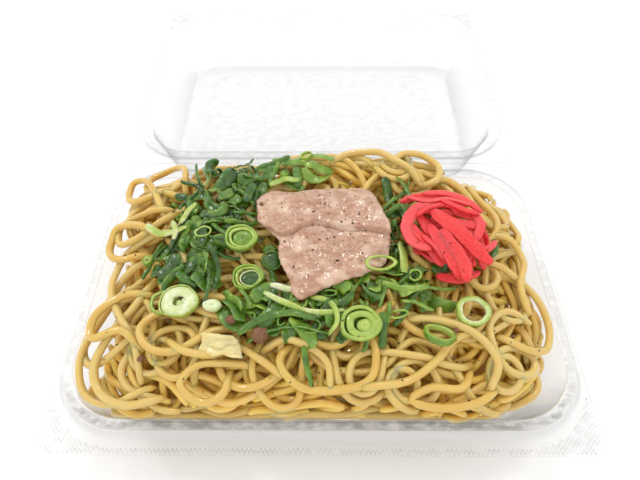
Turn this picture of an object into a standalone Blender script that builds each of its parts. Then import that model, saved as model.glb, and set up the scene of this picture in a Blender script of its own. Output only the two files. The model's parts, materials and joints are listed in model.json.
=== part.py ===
"""Salt yakisoba in its clear hinged food pack, lid laid open behind the tray.

Frame: metres, +Z up, +Y from the tray towards the open lid, origin at the middle of the
tray's underside. Lengths below are named in millimetres and become metres in new_piece().
"""

import math

import bmesh
import bpy
from mathutils import Euler, Vector

MM = 0.001

# ---- food pack ------------------------------------------------------------------------
WALL = 0.6  # sheet thickness
FLANGE_Z = 27.0  # upper face of the tray's flange
RIDGE_RISE = 2.5  # stacking ridge above the flange
FLANGE_HALF_X = 92.4
FLANGE_HALF_Y = 64.5
FOOT_HALF_X = 91.0  # outer foot of the ridge
FOOT_HALF_Y = 60.7
CREST_HALF_X = 89.9  # outer edge of the ridge's top
CREST_HALF_Y = 57.3
RIM_HALF_X = 86.5  # inner edge of the ridge's top, where the wall starts
RIM_HALF_Y = 53.3
RIM_CORNER = 21.0  # corner radius there
FLOOR_HALF_X = 79.5
FLOOR_HALF_Y = 47.8
FLOOR_CORNER = 15.0
TIGHTEST_CORNER = 12.0
FLOOR_ROUND = 3.5  # height of the rounding between floor and wall
TAB_CORNER = 4.0  # square corners that the two halves are opened by
HINGE_CORNER = 9.0  # rounder corners beside the hinge
HINGE_GAP = 0.5  # clear width between the two flanges along the hinge
SEAT_GAP = 0.3  # clear height between the flanges when shut
LID_RIDGE_PLAY = 0.7  # how much wider the lid's groove is than the tray's ridge
GROOVE_EXTRA_DEPTH = 0.2  # and how much deeper
LID_SIDE_HALF_X = 78.0  # foot of the lid's wall
LID_SIDE_HALF_Y = 50.4
LID_BORDER_DEPTH = 25.4  # how deep the wall's foot lies below the flange
LID_PANEL_HALF_X = 66.5  # flat panel inside the sloped border
LID_PANEL_HALF_Y = 38.5
LID_RADII = (10.0, 14.0, 21.0, 25.0, 27.0)  # corners from the panel out to the groove

HINGE_Y = FLANGE_HALF_Y
HINGE_Z = FLANGE_Z + SEAT_GAP / 2
LID_MIDDLE_Y = 2 * HINGE_Y

# ---- noodles --------------------------------------------------------------------------
REST_GAP = 0.5  # between pieces that lie on each other
WALL_GAP = 0.8  # between the heap and the tray's floor rounding, sideways
FLOOR_GAP = 0.3  # between the heap and the tray's floor
NOODLE_EDGE_Z = 28.4  # where the heap meets the wall
NOODLE_CROWN_Z = 42.6
NOODLE_BACK_RISE = 4.4  # the heap stands higher towards the hinge
NOODLE_FRONT_DROP = 5.0
NOODLE_END_DROP = 7.0  # and lower towards both ends
NOODLE_MIDDLE_X = -2.0
NOODLE_HALF_X = 83.2
NOODLE_HALF_Y = 51.9
NOODLE_SQUARENESS = 4.2
CREST_MIDDLE = (17.0, 46.0)  # the crest along the back of the heap
CREST_SPREAD = (33.0, 9.0)
CREST_RISE = 4.6
SIDE_SHOULDER = 8.0  # how steeply the heap drops at its ends
BACK_SHOULDER = 20.0
FRONT_SHOULDER = 4.5
LUMP_HEIGHT = 1.1
LUMP_LENGTH = 44.0

# ---- toppings: each outline is a centre and equally spaced radii, anticlockwise from +X ----
ONION_CENTRE = (-9.0, 1.0)
ONION_RADII = (66, 60, 42, 34, 40, 50, 47, 50, 54, 53, 42, 38, 35, 36, 43, 50)
ONION_THICKNESS = 3.2
ONION_EDGE = 0.8  # thickness at its edge
ONION_LUMP = 0.7
ONION_LUMP_LENGTH = 17.0
PORK_CENTRE = (3.0, 4.5)
PORK_RADII = (23, 24, 24.5, 24, 24, 27.5, 32, 28, 16.5, 16, 18, 23, 18.5, 17, 18.5, 22.5)
PORK_SLICE = 1.6
PORK_DOUBLED = 0.7  # how much thicker the folded half is, in slices
PORK_EDGE = 0.55  # the edge's share of the thickness
PORK_FOLD_EDGE = (-11.0, 9.0)  # a point on the edge of the slice's folded-over half
PORK_FOLD_TURN = math.radians(-68.0)  # direction that the fold's edge runs in
PORK_FOLD_SOFTNESS = 1.1
GINGER_CENTRE = (47.5, 7.0)
GINGER_RADII = (19.5, 18, 18, 18, 19, 20.5, 21, 19, 17.5, 15.5, 15, 16, 18.5, 18, 18, 18)
GINGER_THICKNESS = 4.6
GINGER_EDGE = 1.0
GINGER_LUMP = 0.6
GINGER_LUMP_LENGTH = 11.0
DRAPE_REACH = 3.0  # how far a topping bridges the edge of what it lies on
CABBAGE_CENTRE = (-32.5, -33.5)
CABBAGE_SIZE = (14.0, 7.0, 2.2)
CABBAGE_TURN = math.radians(-8.0)

# Loose onion rounds: name, x, y, outer radius, hole radius, height, tilt about X, tilt about Y
ONION_ROUNDS = (
    ("onion_ring_right", 53.3, -20.5, 6.2, 4.8, 2.4, 14, 6),
    ("onion_ring_back_left", -28.5, 5.0, 6.0, 4.3, 3.0, 8, 0),
    ("onion_ring_left", -25.5, -8.3, 5.8, 3.9, 3.0, 6, -4),
    ("onion_ring_front", 13.9, -26.5, 7.2, 5.7, 2.2, 12, 0),
    ("onion_ring_white", -51.5, -17.5, 5.8, 2.2, 2.4, 4, -4),
    ("onion_ring_near_ginger", 40.5, -29.0, 5.6, 4.4, 2.2, 16, 8),
)
ROUND_STEPS = 20

CORNER_STEPS = 7
HEAP_SPLITS = (16, 9)  # pieces of the heap's long and short sides
HEAP_SCALES = (1.0, 0.985, 0.96, 0.92, 0.87, *(0.065 * step for step in range(12, 0, -1)))
OUTLINE_STEPS = 36

PARTS = "yakisoba"


def clear_scene():
    for thing in list(bpy.data.objects):
        bpy.data.objects.remove(thing, do_unlink=True)


def new_collection(name):
    collection = bpy.data.collections.new(name)
    bpy.context.scene.collection.children.link(collection)
    return collection


def material(name, colour, roughness, metallic=0.0, alpha=1.0):
    mat = bpy.data.materials.new(name)
    mat.use_nodes = True
    shader = mat.node_tree.nodes["Principled BSDF"]
    shader.inputs["Base Color"].default_value = (*colour, 1.0)
    shader.inputs["Roughness"].default_value = roughness
    shader.inputs["Metallic"].default_value = metallic
    shader.inputs["Alpha"].default_value = alpha
    return mat


def new_piece(name, bm, mat, collection, smooth_angle=40.0, origin=(0.0, 0.0, 0.0)):
    """An object from a bmesh drawn in millimetres, with its own origin, also in millimetres."""
    for vertex in bm.verts:
        for axis in range(3):
            vertex.co[axis] = (vertex.co[axis] - origin[axis]) * MM
    bmesh.ops.recalc_face_normals(bm, faces=bm.faces)
    mesh = bpy.data.meshes.new(name)
    bm.to_mesh(mesh)
    bm.free()
    mesh.materials.append(mat)
    mesh.shade_smooth()
    mesh.set_sharp_from_angle(angle=math.radians(smooth_angle))
    piece = bpy.data.objects.new(name, mesh)
    piece.location = [value * MM for value in origin]
    collection.objects.link(piece)
    return piece


# ---- lofts ------------------------------------------------------------------------------


def rounded_rectangle(half_x, half_y, near_corner, far_corner, z, middle_y=0.0, splits=(1, 1)):
    """A level ring of points, anticlockwise, with one corner radius at -Y and one at +Y.

    splits says into how many pieces the sides along X and along Y are cut.
    """
    points = []
    corners = (
        (half_x, half_y, far_corner, 0.0),
        (-half_x, half_y, far_corner, 90.0),
        (-half_x, -half_y, near_corner, 180.0),
        (half_x, -half_y, near_corner, 270.0),
    )
    for corner_x, corner_y, radius, start in corners:
        centre_x = corner_x - math.copysign(radius, corner_x)
        centre_y = corner_y - math.copysign(radius, corner_y)
        for step in range(CORNER_STEPS + 1):
            angle = math.radians(start + 90.0 * step / CORNER_STEPS)
            x = centre_x + radius * math.cos(angle)
            y = centre_y + radius * math.sin(angle)
            points.append((x, y + middle_y, z))
    return split_sides(points, splits)


def split_sides(points, splits):
    """The ring with each straight side cut into equal pieces."""
    ring = []
    for corner in range(4):
        arc = points[corner * (CORNER_STEPS + 1) : (corner + 1) * (CORNER_STEPS + 1)]
        ring.extend(arc)
        start = Vector(arc[-1])
        end = Vector(points[(corner + 1) * (CORNER_STEPS + 1) % len(points)])
        pieces = splits[corner % 2]
        for step in range(1, pieces):
            ring.append(tuple(start.lerp(end, step / pieces)))
    return ring


def loft(rings):
    """A closed body through rings of equally many points, capped at both ends."""
    bm = bmesh.new()
    rows = [[bm.verts.new(point) for point in ring] for ring in rings]
    count = len(rows[0])
    for lower, upper in zip(rows, rows[1:]):
        for index in range(count):
            after = (index + 1) % count
            bm.faces.new((lower[index], lower[after], upper[after], upper[index]))
    bm.faces.new(reversed(rows[0]))
    bm.faces.new(rows[-1])
    return bm


def pushed(stations, distance):
    """Stations (half_x, half_y, z) moved sideways by a distance, square to their own run."""
    moved = []
    for index, station in enumerate(stations):
        before = stations[max(index - 1, 0)]
        after = stations[min(index + 1, len(stations) - 1)]
        shift = []
        for axis in (0, 1):
            normals = []
            for start, end in ((before, station), (station, after)):
                run = (end[axis] - start[axis], end[2] - start[2])
                length = math.hypot(*run)
                if length > 0:
                    normals.append((-run[1] / length, run[0] / length))
            mean = [sum(part) / len(normals) for part in zip(*normals)]
            scale = 1.0 / max(mean[0] ** 2 + mean[1] ** 2, 0.25)
            shift.append((mean[0] * scale, mean[1] * scale))
        moved.append(
            (
                station[0] + shift[0][0] * distance,
                station[1] + shift[1][0] * distance,
                station[2] + (shift[0][1] + shift[1][1]) / 2 * distance,
            )
        )
    return moved


def corner_radii(half_x):
    """Corner radius at a ring's width: tight on the floor, wide at the rim."""
    share = (half_x - FLOOR_HALF_X) / (RIM_HALF_X - FLOOR_HALF_X)
    radius = FLOOR_CORNER + (RIM_CORNER - FLOOR_CORNER) * share
    return max(radius, TIGHTEST_CORNER)


# ---- the pack -----------------------------------------------------------------------------


def floor_rounding():
    """Stations of the rounding from the floor up into the wall."""
    stations = []
    for step in range(4):
        turn = math.radians(90.0 * step / 3)
        reach = FLOOR_ROUND * math.sin(turn)
        rise = FLOOR_ROUND * (1.0 - math.cos(turn))
        stations.append(
            (FLOOR_HALF_X - FLOOR_ROUND + reach, FLOOR_HALF_Y - FLOOR_ROUND + reach, rise)
        )
    return stations


def build_base(mat, collection):
    """The tray: floor, sloped wall, stacking ridge and flange, in one sheet."""
    ridge_z = FLANGE_Z + RIDGE_RISE
    inside = [(half_x, half_y, z + WALL) for half_x, half_y, z in floor_rounding()]
    inside.append((RIM_HALF_X, RIM_HALF_Y, ridge_z))
    inside.append((CREST_HALF_X, CREST_HALF_Y, ridge_z))
    inside.append((FOOT_HALF_X, FOOT_HALF_Y, FLANGE_Z))
    outside = pushed(inside, -WALL)
    outside[0] = (inside[0][0], inside[0][1], 0.0)
    outside[-1] = (FOOT_HALF_X - WALL / 2, FOOT_HALF_Y - WALL / 2, FLANGE_Z - WALL)
    rings = []
    for half_x, half_y, z in outside:
        radius = corner_radii(half_x)
        rings.append(rounded_rectangle(half_x, half_y, radius, radius, z))
    edge = (FLANGE_HALF_X, FLANGE_HALF_Y - HINGE_GAP / 2, TAB_CORNER, HINGE_CORNER)
    rings.append(rounded_rectangle(*edge, FLANGE_Z - WALL))
    rings.append(rounded_rectangle(*edge, FLANGE_Z))
    for half_x, half_y, z in reversed(inside):
        radius = corner_radii(half_x)
        rings.append(rounded_rectangle(half_x, half_y, radius, radius, z))
    return new_piece("pack_base", loft(rings), mat, collection)


def build_lid(mat, collection):
    """The lid, open: flange, groove over the tray's ridge, wall, sloped border and panel."""
    groove_z = FLANGE_Z - RIDGE_RISE - GROOVE_EXTRA_DEPTH
    border_z = FLANGE_Z - LID_BORDER_DEPTH
    play = LID_RIDGE_PLAY
    inside = [
        (LID_PANEL_HALF_X, LID_PANEL_HALF_Y, WALL),
        (LID_SIDE_HALF_X, LID_SIDE_HALF_Y, border_z),
        (RIM_HALF_X, RIM_HALF_Y, groove_z),
        (CREST_HALF_X + play, CREST_HALF_Y + play, groove_z),
        (FOOT_HALF_X + play, FOOT_HALF_Y + play, FLANGE_Z),
    ]
    outside = pushed(inside, -WALL)
    outside[0] = (inside[0][0], inside[0][1], 0.0)
    outside[-1] = (inside[-1][0] + WALL / 2, inside[-1][1] + WALL / 2, FLANGE_Z - WALL)
    rings = []
    for (half_x, half_y, z), radius in zip(outside, LID_RADII):
        rings.append(rounded_rectangle(half_x, half_y, radius, radius, z, LID_MIDDLE_Y))
    edge = (FLANGE_HALF_X, FLANGE_HALF_Y - HINGE_GAP / 2, HINGE_CORNER, TAB_CORNER)
    rings.append(rounded_rectangle(*edge, FLANGE_Z - WALL, LID_MIDDLE_Y))
    rings.append(rounded_rectangle(*edge, FLANGE_Z, LID_MIDDLE_Y))
    for (half_x, half_y, z), radius in zip(reversed(inside), reversed(LID_RADII)):
        rings.append(rounded_rectangle(half_x, half_y, radius, radius, z, LID_MIDDLE_Y))
    hinge = (0.0, HINGE_Y, HINGE_Z)
    return new_piece("pack_lid", loft(rings), mat, collection, origin=hinge)


# ---- heaps --------------------------------------------------------------------------------


def lumps(x, y, length, phase):
    """Broad unevenness between -1 and 1."""
    wave = math.tau / length
    first = math.sin(wave * (x + 0.35 * y) + phase)
    second = math.sin(wave * 1.31 * (y - 0.25 * x) + 2.1 * phase + 0.7)
    third = math.sin(wave * 1.9 * (0.6 * x + 0.8 * y) + 3.7 * phase)
    return (first * second + 0.3 * third) / 1.3


def noodle_top(x, y):
    """Height of the noodle heap's surface."""
    end = abs(x - NOODLE_MIDDLE_X) / NOODLE_HALF_X
    across = end**NOODLE_SQUARENESS
    along = abs(y / NOODLE_HALF_Y) ** NOODLE_SQUARENESS
    reach = min((across + along) ** (1.0 / NOODLE_SQUARENESS), 1.0)
    sideways = across / max(across + along, 0.001)
    lengthways = BACK_SHOULDER if y > 0 else FRONT_SHOULDER
    shoulder = SIDE_SHOULDER * sideways + lengthways * (1.0 - sideways)
    dome = (1.0 - reach**shoulder) ** 0.5
    tilt = y / NOODLE_HALF_Y
    crown = NOODLE_CROWN_Z + (NOODLE_BACK_RISE if tilt > 0 else NOODLE_FRONT_DROP) * tilt
    crown -= NOODLE_END_DROP * end**2.5
    from_crest_x = (x - CREST_MIDDLE[0]) / CREST_SPREAD[0]
    from_crest_y = (y - CREST_MIDDLE[1]) / CREST_SPREAD[1]
    crown += CREST_RISE * math.exp(-(from_crest_x**4) - from_crest_y**2)
    rise = crown - NOODLE_EDGE_Z + LUMP_HEIGHT * lumps(x, y, LUMP_LENGTH, 1.2)
    return NOODLE_EDGE_Z + rise * dome


def outline_radius(radii, angle):
    """Radius of a closed outline at an angle, smooth through its equally spaced radii."""
    count = len(radii)
    place = (angle / math.tau * count) % count
    index = int(place)
    share = place - index
    ease = share * share * (3.0 - 2.0 * share)
    return radii[index] + (radii[(index + 1) % count] - radii[index]) * ease


def outline_reach(centre, radii, x, y):
    """How far out a point lies in an outline: 0 at its centre, 1 on its edge, more outside."""
    across = x - centre[0]
    along = y - centre[1]
    return math.hypot(across, along) / outline_radius(radii, math.atan2(along, across))


def onion_thickness(x, y):
    reach = outline_reach(ONION_CENTRE, ONION_RADII, x, y)
    if reach >= 1.0:
        return 0.0
    lump = ONION_LUMP * lumps(x, y, ONION_LUMP_LENGTH, 0.4)
    return ONION_EDGE + (ONION_THICKNESS - ONION_EDGE + lump) * (1.0 - reach**4) ** 0.5


def onion_top(x, y):
    """Top of the green onions, or of the noodles where no onion lies."""
    thickness = onion_thickness(x, y)
    if thickness == 0.0:
        return noodle_top(x, y)
    return noodle_top(x, y) + REST_GAP + thickness


def draped_on_onions(x, y):
    """What a topping rests on: the onions and noodles, clear of the onions' edge."""
    return highest_under(onion_top, x, y, DRAPE_REACH)


def draped_on_pork(x, y):
    return highest_under(pork_top, x, y, DRAPE_REACH)


def pork_thickness(x, y):
    """The slice, doubled where its front half is folded over the back half."""
    reach = min(outline_reach(PORK_CENTRE, PORK_RADII, x, y), 1.0)
    side = math.sin(PORK_FOLD_TURN) * (x - PORK_FOLD_EDGE[0])
    side -= math.cos(PORK_FOLD_TURN) * (y - PORK_FOLD_EDGE[1])
    doubled = 1.0 / (1.0 + math.exp(side / PORK_FOLD_SOFTNESS * 2.0))
    edge = PORK_EDGE + (1.0 - PORK_EDGE) * (1.0 - reach**8) ** 0.5
    return PORK_SLICE * (1.0 + PORK_DOUBLED * doubled) * edge


def ginger_thickness(x, y):
    reach = min(outline_reach(GINGER_CENTRE, GINGER_RADII, x, y), 1.0)
    lump = GINGER_LUMP * lumps(x, y, GINGER_LUMP_LENGTH, 2.3)
    return GINGER_EDGE + (GINGER_THICKNESS - GINGER_EDGE + lump) * (1.0 - reach**3) ** 0.5


def build_noodles(mat, collection):
    """The heap from the tray's floor up to its uneven top."""
    rings = []
    for half_x, half_y, z in floor_rounding():
        radius = corner_radii(half_x)
        shape = (half_x - WALL_GAP, half_y - WALL_GAP, radius, radius, z + WALL + FLOOR_GAP)
        rings.append(rounded_rectangle(*shape, splits=HEAP_SPLITS))
    outline = (NOODLE_HALF_X, NOODLE_HALF_Y, RIM_CORNER, RIM_CORNER, 0.0)
    ring = rounded_rectangle(*outline, splits=HEAP_SPLITS)
    for scale in HEAP_SCALES:
        level = [(NOODLE_MIDDLE_X + x * scale, y * scale) for x, y, _ in ring]
        rings.append([(x, y, noodle_top(x, y)) for x, y in level])
    return new_piece("noodles", loft(rings), mat, collection, smooth_angle=70.0)


def build_topping(name, centre, radii, under, thickness, steps, mat, collection):
    """A topping laid over what is under it, from a ring near its middle out and back."""
    scales = [(step + 0.3) / steps for step in range(steps)]
    scales.extend((1.0 - 0.2 / steps, 1.0))
    floor_rings = []
    top_rings = []
    for scale in scales:
        lower = []
        upper = []
        for index in range(OUTLINE_STEPS):
            angle = math.tau * index / OUTLINE_STEPS
            radius = outline_radius(radii, angle) * scale
            x = centre[0] + radius * math.cos(angle)
            y = centre[1] + radius * math.sin(angle)
            rest = under(x, y) + REST_GAP
            lower.append((x, y, rest))
            upper.append((x, y, rest + thickness(x, y)))
        floor_rings.append(lower)
        top_rings.append(upper)
    rings = floor_rings + top_rings[::-1]
    return new_piece(name, loft(rings), mat, collection, smooth_angle=60.0)


def highest_under(under, x, y, radius):
    """The highest point under a round patch."""
    highest = under(x, y)
    for share in (0.5, 1.0):
        for step in range(16):
            angle = math.tau * step / 16
            reach = radius * share
            height = under(x + reach * math.cos(angle), y + reach * math.sin(angle))
            highest = max(highest, height)
    return highest


def build_onion_round(spec, under, mat, collection):
    """A cut round of onion: a low tube turned from its wall's outline, set down on the heap."""
    name, x, y, outer, hole, height, tilt_x, tilt_y = spec
    profile = ((outer, height / 2), (outer, -height / 2), (hole, -height / 2), (hole, height / 2))
    mesh = bpy.data.meshes.new(name)
    points = [(radius * MM, 0.0, z * MM) for radius, z in profile]
    edges = [(index, (index + 1) % len(points)) for index in range(len(points))]
    mesh.from_pydata(points, edges, [])
    mesh.materials.append(mat)
    piece = bpy.data.objects.new(name, mesh)
    turned = piece.modifiers.new("turn", "SCREW")
    turned.steps = ROUND_STEPS
    turned.render_steps = ROUND_STEPS
    turned.use_merge_vertices = True
    turned.merge_threshold = 0.00001
    lean = Euler((math.radians(tilt_x), math.radians(tilt_y), 0.0))
    turn = lean.to_matrix()
    middle_z = -math.inf
    for step in range(ROUND_STEPS * 2):
        angle = math.pi * step / ROUND_STEPS
        for radius in (hole, outer):
            offset = turn @ Vector((radius * math.cos(angle), radius * math.sin(angle), -height / 2))
            rest = under(x + offset.x, y + offset.y) + REST_GAP - offset.z
            middle_z = max(middle_z, rest)
    piece.location = (x * MM, y * MM, middle_z * MM)
    piece.rotation_euler = lean
    collection.objects.link(piece)
    return piece


def pork_top(x, y):
    if outline_reach(PORK_CENTRE, PORK_RADII, x, y) >= 1.0:
        return onion_top(x, y)
    return draped_on_onions(x, y) + REST_GAP + pork_thickness(x, y)


def build_cabbage(mat, collection):
    """A short flat piece of cabbage lying on the noodles in front of the onions."""
    length, width, thickness = CABBAGE_SIZE
    bm = bmesh.new()
    bmesh.ops.create_cube(bm, size=1.0)
    bmesh.ops.subdivide_edges(bm, edges=bm.edges, cuts=4, use_grid_fill=True)
    middle_x, middle_y = CABBAGE_CENTRE
    for vertex in bm.verts:
        across = vertex.co.x * length
        along = vertex.co.y * width * (1.0 - 0.9 * vertex.co.x**2)
        x = middle_x + across * math.cos(CABBAGE_TURN) - along * math.sin(CABBAGE_TURN)
        y = middle_y + across * math.sin(CABBAGE_TURN) + along * math.cos(CABBAGE_TURN)
        rest = highest_under(onion_top, x, y, width / 3) + REST_GAP
        vertex.co = (x, y, rest + (vertex.co.z + 0.5) * thickness)
    return new_piece("cabbage_piece", bm, mat, collection, smooth_angle=60.0)


def build():
    clear_scene()
    parts = new_collection(PARTS)
    clear = material("clear_plastic", (0.93, 0.95, 0.95), 0.08, alpha=0.3)
    noodle = material("noodle", (0.80, 0.60, 0.27), 0.42)
    leaf = material("onion_leaf", (0.10, 0.30, 0.05), 0.45)
    stalk = material("onion_stalk", (0.48, 0.62, 0.26), 0.35)
    meat = material("pork", (0.58, 0.38, 0.29), 0.40)
    pickled = material("ginger", (0.80, 0.07, 0.08), 0.35)
    cabbage = material("cabbage", (0.80, 0.78, 0.55), 0.35)

    build_base(clear, parts)
    build_lid(clear, parts)
    build_noodles(noodle, parts)
    build_topping(
        "green_onions", ONION_CENTRE, ONION_RADII, noodle_top, onion_thickness, 8, leaf, parts
    )
    build_topping(
        "pork_slice", PORK_CENTRE, PORK_RADII, draped_on_onions, pork_thickness, 6, meat, parts
    )
    ginger_shape = (GINGER_CENTRE, GINGER_RADII, draped_on_pork, ginger_thickness)
    build_topping("pickled_ginger", *ginger_shape, 5, pickled, parts)
    build_cabbage(cabbage, parts)
    for spec in ONION_ROUNDS:
        build_onion_round(spec, pork_top, stalk, parts)


build()
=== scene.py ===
import json
import math

import bmesh
import bpy
import numpy as np
from mathutils import Matrix, Vector, noise
from mathutils.bvhtree import BVHTree


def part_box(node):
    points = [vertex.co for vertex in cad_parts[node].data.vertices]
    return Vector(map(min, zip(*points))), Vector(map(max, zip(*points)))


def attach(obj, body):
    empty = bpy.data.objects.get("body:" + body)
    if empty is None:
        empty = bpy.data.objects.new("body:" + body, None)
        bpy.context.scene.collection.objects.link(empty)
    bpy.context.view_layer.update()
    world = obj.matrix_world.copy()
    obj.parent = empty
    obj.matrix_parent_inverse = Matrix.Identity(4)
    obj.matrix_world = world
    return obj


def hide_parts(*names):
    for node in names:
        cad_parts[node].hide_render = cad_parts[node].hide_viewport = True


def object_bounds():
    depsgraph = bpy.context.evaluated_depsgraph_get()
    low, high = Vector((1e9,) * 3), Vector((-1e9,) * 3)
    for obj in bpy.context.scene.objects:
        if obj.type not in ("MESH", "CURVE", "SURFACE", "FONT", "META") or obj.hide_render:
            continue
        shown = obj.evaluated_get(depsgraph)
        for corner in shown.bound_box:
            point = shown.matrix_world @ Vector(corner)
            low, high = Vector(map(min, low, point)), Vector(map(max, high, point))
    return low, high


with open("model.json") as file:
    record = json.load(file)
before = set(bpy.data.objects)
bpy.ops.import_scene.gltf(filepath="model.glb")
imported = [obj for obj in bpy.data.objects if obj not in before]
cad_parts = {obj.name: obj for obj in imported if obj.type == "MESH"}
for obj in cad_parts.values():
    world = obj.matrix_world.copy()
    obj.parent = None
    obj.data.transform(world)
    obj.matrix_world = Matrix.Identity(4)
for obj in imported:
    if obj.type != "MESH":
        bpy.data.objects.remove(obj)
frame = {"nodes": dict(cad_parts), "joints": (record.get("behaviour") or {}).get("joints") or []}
cad_low, cad_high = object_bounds()

# Lengths below are millimetres in the frame's own axes. They become metres in mesh_piece().
MM = 0.001


def box_of(node):
    """The lowest and the highest corner of a CAD node, in millimetres."""
    return [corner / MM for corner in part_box(node)]


HINGE = [value / MM for value in frame["joints"][0]["pos_m"]]
TRAY_LOW, TRAY_HIGH = box_of("pack_base")

# ---- camera and light ----
CAMERA_PITCH = 54.814  # degrees below the horizon
CAMERA_YAW = -0.630
CAMERA_ROLL = -0.468
CAMERA_LENS = 27.28
SENSOR = 36.0
CAMERA_PLACE = (1.356, -97.17, 193.303)
# Lamps: name, place in metres, size, power, whether it shows in reflections
LAMPS = (
    ("key", (-1.3, 0.8, 1.5), 0.22, 6.5, True),
    ("back", (0.15, 1.45, 2.15), 0.42, 9.0, True),
    ("front", (0.2, -1.9, 1.3), 1.2, 7.0, False),
)
LIGHT_AIM = Vector((0, 0.02, 0.02))
SKY_STRENGTH = 0.98

# ---- pack: half sizes are along X and Y ----
SHEET = 0.45  # thickness of the clear sheet
FLANGE_Z = HINGE[2] - 0.15
RIDGE_RISE = 2.5
FLANGE_HALF = (TRAY_HIGH.x, (TRAY_HIGH.y - TRAY_LOW.y) / 2)
FOOT_HALF = (91.0, 60.7)
CREST_HALF = (89.9, 57.3)
RIM_HALF = (86.5, 53.3)
RIM_CORNER = 21.0
FLOOR_HALF = (79.5, 47.8)
FLOOR_CORNER = 15.0
WALL_FOOT = 1.5  # height at which the straight part of the wall begins
LID_SIDE_HALF = (78.0, 50.4)
LID_PANEL_HALF = (66.5, 38.5)
LID_BORDER_Z = 1.6
LID_MIDDLE_Y = 2 * HINGE[1]

# ---- noodles ----
NOODLE_RADIUS = 1.32
STEP = 1.5  # distance between the rings of a strand
HEAP_DEPTH = 12.0  # how deep the loose strands lie over the core
LAYER_GOALS = (8.0, 5.0, 2.8)  # how far each layer ends below the top of the heap
COVER_GOAL = 0.6
HEAP_HALF = (82.0, 52.0)
HEAP_CORNERS = (20, 21, 24, 20)
LOWEST_LOOSE = 15.0  # the loose strands go no deeper
CORE_HALF = (77.0, 45.0)
STRAND_SECTION = (8, 2.7)  # sides and squareness
WALL_SECTION = (6, 2.5)

# ---- ginger ----
GINGER_THIN = 0.65  # half the thickness of a strip
GINGER_WIDE = 1.9  # half the width of a strip under the top ones

# ---- the field of all height maps ----
FIELD_LOW, FIELD_HIGH = (-90.0, -58.0), (90.0, 58.0)
CELL = 0.75


# ==== meshes ====


def link(item):
    bpy.context.scene.collection.objects.link(item)
    return item


def mesh_piece(name, points, face_groups, mat, tones=None, extra=None):
    """An object from points in millimetres and groups of equally sized faces."""
    mesh = bpy.data.meshes.new(name)
    loops = np.concatenate([np.asarray(group).ravel() for group in face_groups])
    sizes = np.concatenate([np.full(len(group), np.shape(group)[1]) for group in face_groups])
    starts = np.concatenate(([0], np.cumsum(sizes)[:-1]))
    mesh.vertices.add(len(points))
    mesh.vertices.foreach_set("co", (np.asarray(points, float) * MM).ravel())
    mesh.loops.add(len(loops))
    mesh.loops.foreach_set("vertex_index", loops.astype(np.int32))
    mesh.polygons.add(len(sizes))
    mesh.polygons.foreach_set("loop_start", starts.astype(np.int32))
    mesh.update(calc_edges=True)
    mesh.validate()
    for label, values in (("tone", tones), ("extra", extra)):
        if values is not None:
            attribute = mesh.attributes.new(label, "FLOAT", "POINT")
            attribute.data.foreach_set("value", np.asarray(values, np.float32))
    mesh.materials.append(mat)
    mesh.shade_smooth()
    return link(bpy.data.objects.new(name, mesh))


def unit(vectors):
    return vectors / np.maximum(np.linalg.norm(vectors, axis=-1, keepdims=True), 1e-9)


def superellipse(sides, squareness):
    """A cross-section with half width and half height 1, anticlockwise."""
    angles = np.arange(sides) * math.tau / sides + math.pi / sides
    cosines, sines = np.cos(angles), np.sin(angles)
    across = np.sign(cosines) * np.abs(cosines) ** (2 / squareness)
    along = np.sign(sines) * np.abs(sines) ** (2 / squareness)
    return np.stack((across, along), 1)


def loft_faces(rings, sides, first=0):
    """The faces of rings of points that follow each other: walls, then both end caps."""
    ring = np.arange(sides)
    after = (ring + 1) % sides
    low = first + np.arange(rings - 1)[:, None] * sides
    quads = np.stack((low + ring, low + after, low + sides + after, low + sides + ring), 2)
    caps = np.stack((first + ring[::-1], first + (rings - 1) * sides + ring))
    return [quads.reshape(-1, 4), caps]


def place_piece(piece, body, slot=None, *nodes):
    """Gives a piece its body and hides the CAD nodes that it stands for; slot is not used."""
    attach(piece, body)
    if nodes:
        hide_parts(*nodes)


class Bundle:
    """Many tubes or ribbons gathered into one mesh."""

    def __init__(self, section, ends=(0.62, 0.93)):
        self.section = section
        self.ends = ends  # how far the last two rings shrink
        self.points, self.tones, self.extras, self.faces = [], [], [], []
        self.count = 0

    def add(self, centres, ups, widths, heights, tone, extra=0.0, twist=0.0):
        """A tube along centres. widths and heights are half sizes, one value for each ring."""
        rings = len(centres)
        sides = len(self.section)
        tangents = unit(np.gradient(centres, axis=0))
        across = unit(np.cross(tangents, ups))
        over = np.cross(across, tangents)
        turn = np.broadcast_to(twist, (rings,))
        cosines, sines = np.cos(turn)[:, None], np.sin(turn)[:, None]
        across, over = across * cosines + over * sines, over * cosines - across * sines
        ends = np.minimum(np.arange(rings), np.arange(rings)[::-1])
        shrink = np.where(ends == 0, self.ends[0], np.where(ends == 1, self.ends[1], 1.0))
        wide = (np.broadcast_to(widths, (rings,)) * shrink)[:, None, None]
        high = (np.broadcast_to(heights, (rings,)) * shrink)[:, None, None]
        flat = self.section[None, :, 0, None] * wide * across[:, None, :]
        upright = self.section[None, :, 1, None] * high * over[:, None, :]
        self.points.append((centres[:, None, :] + flat + upright).reshape(-1, 3))
        self.tones.append(np.broadcast_to(tone, (rings, sides)).ravel())
        self.extras.append(np.repeat(np.broadcast_to(extra, (rings,)), sides))
        self.faces.append(loft_faces(rings, sides, self.count))
        self.count += rings * sides

    def piece(self, name, mat):
        groups = [np.concatenate(group) for group in zip(*self.faces)]
        tones, extras = np.concatenate(self.tones), np.concatenate(self.extras)
        return mesh_piece(name, np.concatenate(self.points), groups, mat, tones, extras)


# ==== surfaces ====


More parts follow.
